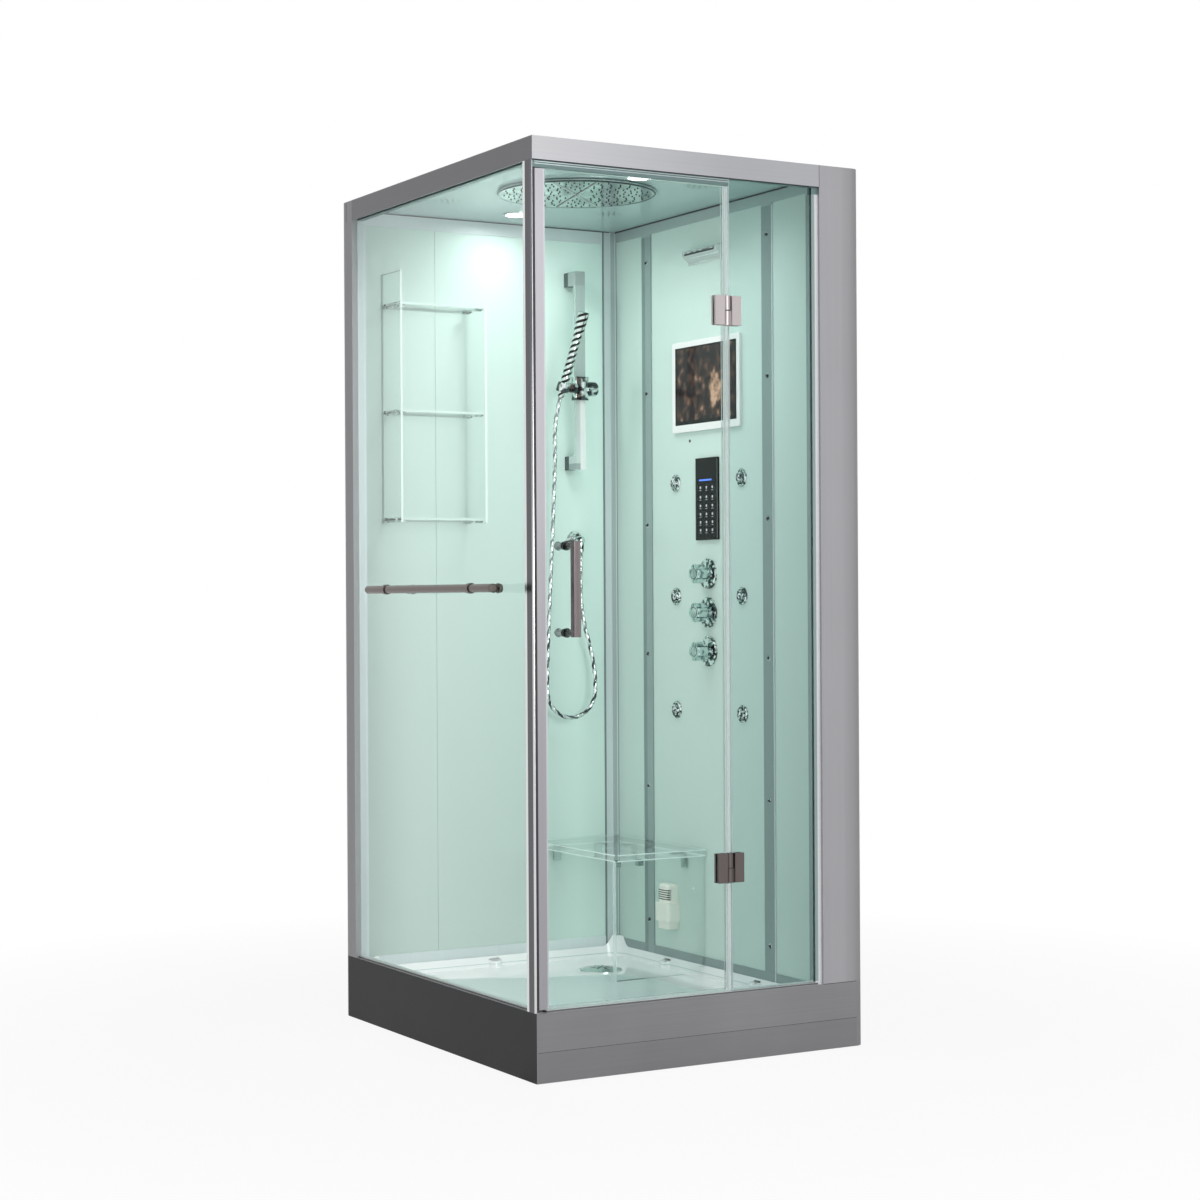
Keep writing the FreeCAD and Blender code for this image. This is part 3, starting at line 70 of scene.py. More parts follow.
# ------------------------------------------------------------------ node trees
def operator(operation: str, reflected: bool = False) -> Callable[..., "Sock"]:
    """Makes a method out of one Math node.

    Args:
        operation: the Math node's operation.
        reflected: whether the other value comes first.

    Returns:
        The method.
    """
    def method(self: "Sock", other: Value = 0.0) -> "Sock":
        """Result of the Math node on this value and the other."""
        pair = (other, self) if reflected else (self, other)
        return self.nodes.node("ShaderNodeMath", {"operation": operation}, dict(enumerate(pair)))
    return method


class Sock:
    """An output socket that takes part in Python arithmetic, one Math node for each operator."""

    __add__ = __radd__ = operator("ADD")
    __mul__ = __rmul__ = operator("MULTIPLY")
    __sub__, __rsub__ = operator("SUBTRACT"), operator("SUBTRACT", True)
    __truediv__, __rtruediv__ = operator("DIVIDE"), operator("DIVIDE", True)
    __pow__, __rpow__ = operator("POWER"), operator("POWER", True)
    __gt__, __lt__ = operator("GREATER_THAN"), operator("LESS_THAN")
    __abs__ = operator("ABSOLUTE")
    sine, cosine, angle = operator("SINE"), operator("COSINE"), operator("ARCTAN2")
    most = operator("MAXIMUM")

    def __init__(self, nodes: "Nodes", socket: bpy.types.NodeSocket) -> None:
        """Keeps the socket and the tree it belongs to."""
        self.nodes = nodes
        self.socket = socket

    def held(self) -> "Sock":
        """The value held between 0 and 1."""
        return self.nodes.node("ShaderNodeMath", {"operation": "ADD", "use_clamp": True}, {0: self, 1: 0.0})


class Nodes:
    """A node tree, of shaders or of geometry."""

    def __init__(self, tree: bpy.types.NodeTree) -> None:
        """Empties the tree and works in it."""
        self.tree = tree
        self.tree.nodes.clear()

    def node(self, kind: str, settings: dict | None = None, inputs: dict | None = None,
             output: str | int = 0) -> Sock | None:
        """Adds one node.

        Args:
            kind: the node's type.
            settings: its properties, and "stops" for a colour ramp.
            inputs: values or sockets by input name or number.
            output: the output that is returned.

        Returns:
            The chosen output, or None from a node that has none.
        """
        made = self.tree.nodes.new(kind)
        for key, value in (settings or {}).items():
            if key == "stops":
                self._stops(made.color_ramp, value)
            else:
                setattr(made, key, value)
        for key, value in (inputs or {}).items():
            target = made.inputs[key]
            if isinstance(value, Sock):
                self.tree.links.new(value.socket, target)
            elif target.type == "RGBA" and len(value) == 3:
                target.default_value = (*value, 1.0)
            else:
                target.default_value = value
        return Sock(self, made.outputs[output]) if made.outputs else None

    @staticmethod
    def _stops(ramp: bpy.types.ColorRamp, stops: Stops) -> None:
        """Fills a colour ramp.

        Args:
            ramp: the ramp.
            stops: places from 0 to 1, each with its colour.
        """
        while len(ramp.elements) < len(stops):
            ramp.elements.new(1.0)
        for element, (place, colour) in zip(ramp.elements, stops):
            element.position = place
            element.color = (*colour, 1.0)


class Shade(Nodes):
    """A node tree of shaders, for a material or the world."""

    def here(self) -> Sock:
        """Object coordinates in metres."""
        return self.node("ShaderNodeTexCoord", output="Object")

    def axis(self, name: str) -> Sock:
        """One object coordinate, in metres."""
        return self.node("ShaderNodeSeparateXYZ", {}, {"Vector": self.here()}, name)

    def reach(self, start: Point, direction: Point) -> Sock:
        """Distance from a start along a direction, in metres.

        Args:
            start: the place that is measured from.
            direction: a direction of length 1.

        Returns:
            The distance.
        """
        away = self.node("ShaderNodeVectorMath", {"operation": "SUBTRACT"}, {0: self.here(), 1: start})
        return self.node("ShaderNodeVectorMath", {"operation": "DOT_PRODUCT"},
                         {0: away, 1: direction}, "Value")

    def noise(self, scale: float, detail: float = 3.0, stretch: Point = (1, 1, 1)) -> Sock:
        """Noise from 0 to 1 over the object, finer along an axis with more stretch.

        Args:
            scale: how fine it is, per metre.
            detail: how many finer layers it has.
            stretch: how much finer it is along each axis.

        Returns:
            The noise.
        """
        where = self.node("ShaderNodeMapping", {}, {"Vector": self.here(), "Scale": stretch})
        return self.node("ShaderNodeTexNoise", {}, {"Vector": where, "Scale": scale, "Detail": detail})

    def mix(self, share: Value, first: Value, second: Value) -> Sock:
        """Blend of two colours."""
        return self.node("ShaderNodeMix", {"data_type": "RGBA"}, {0: share, 6: first, 7: second}, 2)

    def banded(self, colour: Value, bands: Bands) -> Value:
        """Colour that changes at set places.

        Args:
            colour: the colour outside every band.
            bands: axis, start, width of the change and colour, laid on in order; a negative
                width paints the side below the start.

        Returns:
            The colour.
        """
        for name, start, width, after in bands:
            colour = self.mix(((self.axis(name) - start) / width).held(), colour, after)
        return colour

    def bump(self, height: Sock, distance: float, strength: float = 1.0) -> Sock:
        """Normal from a height."""
        return self.node("ShaderNodeBump", {}, {"Height": height, "Distance": distance,
                                                "Strength": strength})

    def principled(self, **inputs: Value) -> Sock:
        """A Principled shader; underscores in names stand for spaces."""
        named = {key.replace("_", " "): value for key, value in inputs.items()}
        return self.node("ShaderNodeBsdfPrincipled", {}, named)

    def blend(self, share: Value, first: Sock, second: Sock) -> Sock:
        """Blend of two shaders."""
        return self.node("ShaderNodeMixShader", {}, {0: share, 1: first, 2: second})

    def seen(self) -> Sock:
        """1 for rays that come from the camera, a mirror or through glass, else 0."""
        return reduce(Sock.most, [self.node("ShaderNodeLightPath", output=name) for name in (
            "Is Camera Ray", "Is Glossy Ray", "Is Transmission Ray")])


# ------------------------------------------------------------------ finishes
class Grain(Enum):
    """Direction of brushing, as stretch of the noise along X, Y and Z."""

    X = (2.0, 260.0, 260.0)
    Y = (260.0, 2.0, 260.0)
    Z = (260.0, 260.0, 2.0)


_made: dict[str, bpy.types.Material] = {}


@dataclass(frozen=True)
class Finish:
    """A finish by name; its material is made once."""

    name: str

    def material(self) -> bpy.types.Material:
        """The finish's material.

        Returns:
            The material.
        """
        if self.name not in _made:
            made = bpy.data.materials.new(self.name)
            made.use_nodes = True
            shade = Shade(made.node_tree)
            shade.node("ShaderNodeOutputMaterial", {}, {"Surface": self.paint(shade)})
            _made[self.name] = made
        return _made[self.name]

    def paint(self, shade: Shade) -> Sock:
        """Builds the nodes and returns the surface."""
        raise NotImplementedError


@dataclass(frozen=True)
class BrushedMetal(Finish):
    """Metal or metallic lacquer with fine lines along one direction."""

    colour: Colour = (0.5, 0.5, 0.5)
    grain: Grain = Grain.Z
    metallic: float = 0.6
    roughness: float = 0.35
    # bands: colour by place; on the finishes below many are painted shade, painted highlights and painted
    # reflections
    bands: Bands = ()
    cloud: float = 0.09
    specular: float = 0.5

    def paint(self, shade: Shade) -> Sock:
        """Streaks in colour, roughness and height, over a slow drift of tone.

        Args:
            shade: the material's tree.

        Returns:
            The surface.
        """
        streak = shade.noise(1.0, 2.0, self.grain.value)
        drift = shade.noise(2.6)
        depth = (1.0 - streak) * 0.09 + (1.0 - drift) * self.cloud
        return shade.principled(
            Base_Color=shade.mix(depth, shade.banded(self.colour, self.bands), BLACK),
            Metallic=self.metallic, Specular_IOR_Level=self.specular,
            Roughness=self.roughness + (streak - 0.5) * 0.16, Normal=shade.bump(streak, 0.00001))


@dataclass(frozen=True)
class Chrome(Finish):
    """Polished plate whose colour is mottled light and dark, a painted reflection of small bright parts
    among dark surroundings.
    """

    bright: Colour = (0.80, 0.86, 0.85)
    dark: Colour = (0.07, 0.095, 0.095)
    size: float = 0.011
    contrast: float = 9.0
    level: float = 0.50
    roughness: float = 0.06

    def paint(self, shade: Shade) -> Sock:
        """Mirror metal with a painted reflection in patches of tone, and a few faint water marks.

        Args:
            shade: the material's tree.

        Returns:
            The surface.
        """
        # painted reflection: patches of bright and dark tone
        painted_reflection = ((shade.noise(1.0 / self.size, 1.0) - self.level) * self.contrast + 0.5).held()
        marks = shade.noise(60.0, 4.0) > 0.62
        return shade.principled(Base_Color=shade.mix(painted_reflection, self.bright, self.dark), Metallic=1.0,
                                Roughness=self.roughness + marks * 0.05)


@dataclass(frozen=True)
class TwistedChrome(Finish):
    """Bright metal with dark lines that wind round an axis: a painted reflection, with painted shade
    standing for the grooves of the grip's ribs.
    """

    start: Point = (0, 0, 0)
    direction: Point = (0, 0, 1)
    pitch: float = 0.017
    starts: float = 3.0
    bright: Colour = (0.80, 0.86, 0.85)
    dark: Colour = (0.03, 0.035, 0.035)

    def paint(self, shade: Shade) -> Sock:
        """Windings from the height along the axis and the angle round it.

        Args:
            shade: the material's tree.

        Returns:
            The surface.
        """
        axis = Vector(self.direction).normalized()
        side = axis.cross(Vector((0, 1, 0))).normalized()
        other = axis.cross(side)
        round_it = shade.reach(self.start, side).angle(shade.reach(self.start, other))
        wave = (shade.reach(self.start, axis) * (math.tau / self.pitch) + round_it * self.starts).sine()
        # painted reflection and painted shade: bright metal crossed by dark windings
        return shade.principled(
            Base_Color=shade.mix(((wave + 0.05) * 4.0).held(), self.bright, self.dark), Metallic=1.0,
            Roughness=0.08 + shade.noise(90.0, 2.0) * 0.08)


@dataclass(frozen=True)
class HoseChrome(Finish):
    """Chrome spiral hose, with a painted reflection light and dark along its windings and painted light
    making its upper stretch paler.
    """

    bright: Colour = (0.80, 0.86, 0.85)
    dark: Colour = (0.05, 0.065, 0.07)
    pitch: float = 0.026
    pale_above: float = 0.98

    def paint(self, shade: Shade) -> Sock:
        """Windings from the length along the hose and the way round it.

        Args:
            shade: the material's tree.

        Returns:
            The surface.
        """
        along, around = (shade.node("ShaderNodeAttribute", {"attribute_name": name}, {}, "Fac")
                         for name in ("along", "around"))
        rough = shade.noise(45.0, 1.0)
        # painted reflection along the windings; weight is painted light that makes the stretch above
        # pale_above paler
        wave = (along * (math.tau / self.pitch) + around * (2 * math.tau) + rough * 5.0).sine()
        weight = 1.0 - ((shade.axis("Z") - self.pale_above) / 0.06).held() * 0.30
        return shade.principled(
            Base_Color=shade.mix(((wave - 0.05) * 3.0).held() * weight, self.bright, self.dark),
            Metallic=0.9, Roughness=0.12 + rough * 0.12)


@dataclass(frozen=True)
class ClearGlass(Finish):
    """Clear sheet: what is behind shows unbent, with a faint mirror on top and paler cut edges."""

    tint: Colour = (0.985, 0.998, 0.993)
    edge: Colour = (0.62, 0.82, 0.76)
    edges: Places = ()
    edge_width: float = 0.0011
    edge_share: float = 0.8
    rims: Places = ()
    mirror: float = 0.005
    dim_from: float = 0.0
    dim_tint: Colour = (0.0, 0.0, 0.0)

    def near(self, shade: Shade, places: Places) -> Sock:
        """1 where the surface lies at one of the places, else 0."""
        return reduce(Sock.most, [abs(shade.axis(name) - place) < self.edge_width for name, place in places])

    def paint(self, shade: Shade) -> Sock:
        """Tinted clearness under a gloss that grows to the sides, and cut edges by their places.

        Args:
            shade: the material's tree.

        Returns:
            The surface.
        """
        clear = shade.node("ShaderNodeBsdfTransparent", {}, {"Color": self.tint})
        if self.dim_from:
            dim = shade.node("ShaderNodeBsdfTransparent", {}, {"Color": self.dim_tint})
            clear = shade.blend(shade.axis("X") > self.dim_from, clear, dim)
        gloss = shade.node("ShaderNodeBsdfGlossy", {}, {"Color": PURE_WHITE, "Roughness": 0.01})
        facing = shade.node("ShaderNodeLayerWeight", {}, {"Blend": 0.5}, "Facing")
        sheet = shade.blend(facing ** 5.0 * 0.9 + self.mirror, clear, gloss)
        if not self.edges:
            return sheet
        share = self.near(shade, self.edges) * self.edge_share
        if self.rims:
            share = share * (self.near(shade, self.rims) * 0.8 + 0.2)
        return shade.blend(share, sheet, shade.principled(Base_Color=self.edge, Roughness=0.2))


@dataclass(frozen=True)
class SealStrips(Finish):
    """Black rubber on the handle side of the door and clear strip elsewhere."""

    split: float = -0.446
    clearness: float = 0.6

    def paint(self, shade: Shade) -> Sock:
        """Opaque or part clear by the side.

        Args:
            shade: the material's tree.

        Returns:
            The surface.
        """
        skin = shade.noise(700.0, 2.0)
        black = shade.mix(skin, (0.012, 0.012, 0.013), (0.03, 0.03, 0.03))
        strip = shade.mix(skin, (0.66, 0.80, 0.78), (0.74, 0.86, 0.84))
        rubber = shade.principled(Base_Color=black, Roughness=0.45)
        soft = shade.principled(Base_Color=strip, Roughness=0.2)
        clear = shade.node("ShaderNodeBsdfTransparent", {}, {"Color": (0.97, 1.0, 0.99)})
        return shade.blend(shade.axis("X") > self.split, rubber, shade.blend(self.clearness, soft, clear))


@dataclass(frozen=True)
class PaintedGlass(Finish):
    """Glass painted on its back, for wall panels, with painted light towards the right and painted shade
    lower down.
    """

    colour: Colour = (0.60, 0.745, 0.695)
    painted_light: float = 0.0
    painted_shade: float = 0.0
    painted_light_from: float = 0.09
    painted_light_over: float = 0.13
    painted_shade_below: float = 1.75
    painted_shade_over: float = 1.3

    def paint(self, shade: Shade) -> Sock:
        """Even colour with a slow drift, under a clear coat.

        Args:
            shade: the material's tree.

        Returns:
            The surface.
        """
        drift = shade.noise(1.3, 2.0, (1, 1, 0.4))
        tone = shade.mix(drift, self.colour, tuple(min(1.0, c * 1.06) for c in self.colour))
        # painted light raises the colour towards the right; painted shade lowers it towards the bottom
        if self.painted_light:
            painted_light = ((shade.axis("X") - self.painted_light_from) / self.painted_light_over).held() * self.painted_light
            painted_shade = ((self.painted_shade_below - shade.axis("Z")) / self.painted_shade_over).held() * self.painted_shade
            tone = shade.node("ShaderNodeVectorMath", {"operation": "SCALE"}, {
                0: tone, "Scale": 1.0 + painted_light - painted_shade})
        return shade.principled(Base_Color=tone, Roughness=0.16 + drift * 0.06, Specular_IOR_Level=0.25,
                                Coat_Weight=0.2, Coat_Roughness=0.03)


@dataclass(frozen=True)
class TrayAcrylic(Finish):
    """White acrylic tray whose raised standing floor is tinted and pebbled."""

    colour: Colour = (0.95, 0.97, 0.97)
    floor_colour: Colour = (0.58, 0.69, 0.68)
    floor_low: float = 0.1128
    floor_high: float = 0.1150

    def paint(self, shade: Shade) -> Sock:
        """Chooses the tint by height.

        Args:
            shade: the material's tree.

        Returns:
            The surface.
        """
        height = shade.axis("Z")
        floor = (height > self.floor_low) * (height < self.floor_high)
        pebbles = shade.node("ShaderNodeTexVoronoi", {}, {"Vector": shade.here(), "Scale": 140.0})
        return shade.principled(
            Base_Color=shade.mix(floor, self.colour, self.floor_colour),
            Roughness=0.12 + floor * 0.16, Coat_Weight=0.4,
            Normal=shade.bump(pebbles * floor, 0.0004, 0.5))


@dataclass(frozen=True)
class Plastic(Finish):
    """Moulded plastic or rubber with a fine skin."""

    colour: Colour = (0.8, 0.8, 0.8)
    roughness: float = 0.35
    specular: float = 0.5

    def paint(self, shade: Shade) -> Sock:
        """Fine bump and a slight change of tone and gloss.

        Args:
            shade: the material's tree.

        Returns:
            The surface.
        """
        drift = shade.noise(9.0, 2.0)
        return shade.principled(
            Base_Color=shade.mix(drift * 0.08, self.colour, BLACK),
            Roughness=self.roughness + drift * 0.08, Specular_IOR_Level=self.specular,
            Normal=shade.bump(shade.noise(900.0, 2.0), 0.00006, 0.4))


@dataclass(frozen=True)
class Lamp(Finish):
    """Surface that glows, a little unevenly."""

    colour: Colour = (1.0, 1.0, 1.0)
    strength: float = 1.0

    def paint(self, shade: Shade) -> Sock:
        """Light of one colour with a slight grain.

        Args:
            shade: the material's tree.

        Returns:
            The surface.
        """
        glow = shade.mix(shade.noise(400.0, 1.0), tuple(c * 0.8 for c in self.colour), self.colour)
        return shade.principled(Base_Color=(0.02, 0.02, 0.02), Roughness=0.3, Emission_Color=glow,
                                Emission_Strength=self.strength)


@dataclass(frozen=True)
class ScreenPicture(Finish):
    """Soft dark clouds with a warm glow to one side, a generic idle picture in a black rim."""

    stops: Stops = ((0.47, (0.012, 0.007, 0.009)), (0.61, (0.10, 0.05, 0.032)), (0.80, (0.62, 0.42, 0.28)))
    middle: tuple[float, float] = (-0.003, 1.667)
    half: tuple[float, float] = (0.140, 0.095)
    glow_at: tuple[float, float] = (-0.055, 1.645)
    glow_size: tuple[float, float] = (0.045, 0.060)

    def paint(self, shade: Shade) -> Sock:
        """Noise and a round glow through a ramp, lit from behind.

        Args:
            shade: the material's tree.

        Returns:
            The surface.
        """
        axes = shade.axis("Y"), shade.axis("Z")
        wide, high = (abs(axis - place) < half for axis, place, half in zip(axes, self.middle, self.half))
        across, upward = ((axis - place) / size for axis, place, size in zip(
            axes, self.glow_at, self.glow_size))
        glow = (1.0 - (across * across + upward * upward)).held()
        cloud = shade.noise(38.0, 7.0, (1, 1, 0.9))
        tone = shade.node("ShaderNodeValToRGB", {"stops": self.stops}, {0: cloud + glow * 0.26})
        return shade.principled(Base_Color=(0.006, 0.006, 0.006), Roughness=0.08, Specular_IOR_Level=0.2,
                                Emission_Color=shade.mix(wide * high, BLACK, tone), Emission_Strength=0.9)


@dataclass(frozen=True)
class PaleFloor(Finish):
    """Floor that is white to the eye, with a faint shadow near the cabin."""

    near_share: float = 0.92

    def paint(self, shade: Shade) -> Sock:
        """Matt to light, and mostly glow to the eye, all of it farther out.

        Args:
            shade: the material's tree.

        Returns:
            The surface.
        """
        grain = shade.mix(shade.noise(3.0, 2.0), (0.68, 0.68, 0.68), (0.72, 0.72, 0.72))
        matt = shade.principled(Base_Color=grain, Roughness=0.8)
        glow = shade.node("ShaderNodeEmission", {}, {"Color": PURE_WHITE, "Strength": 1.0})
        x, y = shade.axis("X"), shade.axis("Y")
        away = ((x * x + y * y - 1.0) / 5.0).held() * (1.0 - self.near_share)
        return shade.blend(shade.seen() * (away + self.near_share), matt, glow)


BLACK = (0.0, 0.0, 0.0)
PURE_WHITE = (1.0, 1.0, 1.0)
SHARP = 0.0002
WHITE_LINE = (0.86, 0.88, 0.89)
STRIP_GREY = (0.33, 0.41, 0.405)
# painted shade: faces that look towards -X are drawn darker than the same part's front
LEFT_SHADE = ("X", -0.4565, -SHARP)
GLASS_TINT = (0.985, 0.998, 0.993)
BENCH_TINT = (0.97, 0.988, 0.983)
# Columns: painted shade darkens the right column towards its right edge, a painted highlight lightens the
# rear-left column, and LEFT_SHADE adds painted shade on left faces
SILVER = BrushedMetal("silver_lacquer", (0.47, 0.465, 0.49), Grain.Z, 0.2, 0.45, (
    ("X", 0.395, 0.06, (0.31, 0.305, 0.305)), ("X", -0.4000, -SHARP, (0.60, 0.60, 0.62)),
    (*LEFT_SHADE, (0.54, 0.54, 0.56))))
# Fascia: painted shade darkens its front towards the right, and LEFT_SHADE adds painted shade on its left
# face
FASCIA = BrushedMetal("silver_fascia", (0.70, 0.70, 0.725), Grain.X, 0.2, 0.42, (
    ("X", -0.44, 0.50, (0.52, 0.53, 0.56)), (*LEFT_SHADE, (0.34, 0.335, 0.36))))
# Skirts: LEFT_SHADE paints the left skirt almost black, a painted shade
SKIRT = BrushedMetal("silver_skirt", (0.385, 0.382, 0.40), Grain.X, 0.1, 0.5, (
    (*LEFT_SHADE, (0.088, 0.088, 0.094)),), 0.30, 0.15)
KICK = BrushedMetal("silver_kick", (0.35, 0.347, 0.362), Grain.X, 0.1, 0.5, (), 0.30, 0.15)
# Corner post: the bright front corner is a painted highlight that fades into a painted dark reflection above
# 1.1 m; behind it the side face is darker and ends in a white line
POST = BrushedMetal("post_profile", (0.74, 0.75, 0.77), Grain.Z, 0.9, 0.2, (
    ("Z", 1.10, 0.60, (0.20, 0.20, 0.22)), ("Y", -0.5235, SHARP, (0.11, 0.11, 0.12)),
    ("Y", -0.4985, SHARP, (0.82, 0.84, 0.85))))
STILE = BrushedMetal("stile_profile", (0.38, 0.37, 0.395), Grain.Z, 0.5, 0.4, (
    ("Z", 0.80, 1.20, (0.50, 0.49, 0.525)), ("X", -0.4250, SHARP, (0.58, 0.60, 0.62))))
RAILS = BrushedMetal("glass_rail_profile", (0.16, 0.16, 0.165), Grain.X, 0.3, 0.35, (
    ("Z", 0.1650, SHARP, WHITE_LINE), ("Z", 0.1690, SHARP, (0.34, 0.44, 0.43)),
    ("X", 0.3245, SHARP, WHITE_LINE), ("Z", 2.0785, SHARP, (0.17, 0.26, 0.26))))
BACK_FRAME = BrushedMetal("back_frame_profile", (0.70, 0.78, 0.79), Grain.Z, 0.3, 0.35, (
    ("X", -0.02, 0.25, (0.86, 0.94, 0.95)), ("X", 0.3060, SHARP, (0.22, 0.28, 0.28)),
    ("X", 0.3112, SHARP, (0.76, 0.83, 0.84)), ("X", 0.3305, SHARP, (0.50, 0.58, 0.58)),
    ("X", 0.3440, SHARP, (0.82, 0.88, 0.88))))
# Right wall strips: the darker band on the rear side of the first strip is painted shade, and the white line
# on the front-facing side of the second is a painted highlight
RIGHT_FRAME = BrushedMetal("right_frame_profile", STRIP_GREY, Grain.Z, 0.3, 0.35, (
    ("Y", 0.2785, SHARP, (0.37, 0.46, 0.45)), ("Y", 0.3080, SHARP, (0.27, 0.35, 0.345)),
    ("Y", 0.3265, SHARP, STRIP_GREY), ("Y", -0.3070, -SHARP, WHITE_LINE),
    ("Y", -0.3105, -SHARP, STRIP_GREY), ("Z", 2.0880, SHARP, (0.46, 0.55, 0.545))))
NICKEL_Y = BrushedMetal("satin_nickel_rail", (0.15, 0.13, 0.122), Grain.Y, 1.0, 0.2)
NICKEL = BrushedMetal("satin_nickel", (0.19, 0.165, 0.17), Grain.Z, 0.9, 0.28, (
    ("Y", -0.5605, SHARP, (0.07, 0.08, 0.08)), ("Y", -0.5175, SHARP, (0.30, 0.36, 0.35))))
# Hinges: the upper hinge is painted lighter than the lower one, the same parts lit differently, a painted
# light
HINGE = BrushedMetal("hinge_nickel", (0.135, 0.112, 0.107), Grain.Z, 0.5, 0.4, (
    ("Z", 1.2, SHARP, (0.56, 0.51, 0.51)),))
STEEL = BrushedMetal("grey_steel", (0.45, 0.46, 0.47), Grain.X, 0.8, 0.4)
# Rain head rim: dark on its near side and pale mint towards the far side, a painted reflection
HEAD_RIM = BrushedMetal("rain_head_rim_metal", (0.03, 0.05, 0.05), Grain.X, 0.3, 0.3, (
    ("Y", -0.058, 0.12, (0.42, 0.54, 0.52)),))
BRASS = BrushedMetal("brass", (0.62, 0.44, 0.19), Grain.Z, 1.0, 0.35)
SPOUT = BrushedMetal("spout_metal", (0.74, 0.80, 0.79), Grain.Y, 0.4, 0.25)
# Riser rail: painted reflection and painted shade: mint tones that change by height, a painted white
# highlight down its right side below 1.69 m, and painted shade on the side towards the wall
RISER = BrushedMetal("riser_chrome", (0.40, 0.48, 0.47), Grain.Z, 0.2, 0.12, (
    ("Z", 1.472, SHARP, (0.70, 0.80, 0.78)), ("X", 0.1985, SHARP, (0.99, 1.0, 0.99)),
    ("Z", 1.690, SHARP, (0.47, 0.57, 0.55)), ("Z", 1.960, SHARP, (0.40, 0.48, 0.46)),
    ("Y", 0.450, SHARP, (0.07, 0.10, 0.10))))
CHROME = Chrome("chrome")
FINE_CHROME = Chrome("chrome_fine", size=0.007, level=0.52)
BOLD_CHROME = Chrome("chrome_bold", size=0.020, contrast=12.0)
KNOB_CHROME = Chrome("chrome_knob", (0.60, 0.73, 0.71), (0.16, 0.24, 0.23), 0.012, 5.0, 0.57)
SOFT_CHROME = Chrome("chrome_soft", (0.66, 0.74, 0.72), (0.36, 0.45, 0.43), 0.05, 5.0, 0.5, 0.14)
GRIP = TwistedChrome("chrome_ribbed_grip", (0.136, 0.392, 1.677), (0.036, -0.054, 0.201))
HOSE = HoseChrome("chrome_hose")
LEFT_PANE = ClearGlass("fixed_pane_glass", edge=(0.78, 0.86, 0.87), edges=(("X", 0.0775),),
                       dim_from=0.07, dim_tint=(0.89, 0.935, 0.93))
DOOR_PANE = ClearGlass("door_pane_glass", edges=(("X", 0.0665), ("Z", 2.0775)))
LIP = ClearGlass("clear_lip", (0.93, 0.97, 0.965), (0.82, 0.90, 0.90), (("X", 0.0590),), 0.0013, 0.9,
                 mirror=0.22)
SHELF_PLATE = ClearGlass("shelf_plate_glass", GLASS_TINT, (0.85, 0.96, 0.93), (
    ("Y", 0.3535), ("Z", 1.960), ("Z", 1.878), ("Z", 1.303)))
SHELF = ClearGlass("shelf_glass", GLASS_TINT, (0.74, 0.90, 0.85), (("Y", 0.3555), ("Y", 0.4735)))
SEAT = ClearGlass("bench_seat_clear", BENCH_TINT, (0.78, 0.92, 0.89), (
    ("X", 0.070), ("Y", 0.010), ("Y", 0.4675), ("X", 0.347)), 0.0016, 1.0, (("Z", 0.4390), ("Z", 0.4230)))
SEAT_LEG = ClearGlass("bench_leg_clear", BENCH_TINT, (0.74, 0.90, 0.86), (
    ("X", 0.073), ("Z", 0.422)), 0.0016, 0.55)
SEALS = SealStrips("door_seal_strips")
MINT = PaintedGlass("mint_glass")
BACK_MINT = PaintedGlass("mint_back_glass", painted_light=0.30, painted_shade=0.17)
ACRYLIC = TrayAcrylic("tray_acrylic")
WHITE = Plastic("white_plastic", (0.90, 0.91, 0.90), 0.28)
CREAM = Plastic("cream_plastic", (0.97, 0.97, 0.90), 0.3)
CEILING = Plastic("ceiling_sheet", (0.43, 0.59, 0.575), 0.12)
DARK = Plastic("dark_plastic", (0.02, 0.02, 0.022), 0.4)
SHADOW_LINE = Plastic("joint_shadow", (0.045, 0.045, 0.05), 0.6)
GLOSS_BLACK = Plastic("black_glass", (0.004, 0.004, 0.005), 0.05, 0.15)
SCREEN = ScreenPicture("screen_picture")
LED = Lamp("downlight_glow", PURE_WHITE, 5.0)
BLUE = Lamp("display_blue", (0.08, 0.22, 1.0), 1.6)
ICON = Lamp("icon_white", (0.75, 0.8, 0.85), 0.7)
FLOOR = PaleFloor("pale_floor")


# ------------------------------------------------------------------ mesh making
def linked(name: str, data: bpy.types.ID) -> bpy.types.Object:
    """A new object in the scene, around its data.

    Args:
        name: the object's name.
        data: its mesh, curve, lamp or camera.

    Returns:
        The object.
    """
    made = bpy.data.objects.new(name, data)
    bpy.context.scene.collection.objects.link(made)
    return made


def ridden(piece: bpy.types.Object, body: str) -> bpy.types.Object:
    """Puts a piece on the body that carries it and reports it.

    Args:
        piece: the piece.
        body: the CAD body that carries it.

    Returns:
        The piece.
    """
    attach(piece, body)
    log.info("%s: %d faces on %s", piece.name, len(piece.data.polygons), body)
    return piece


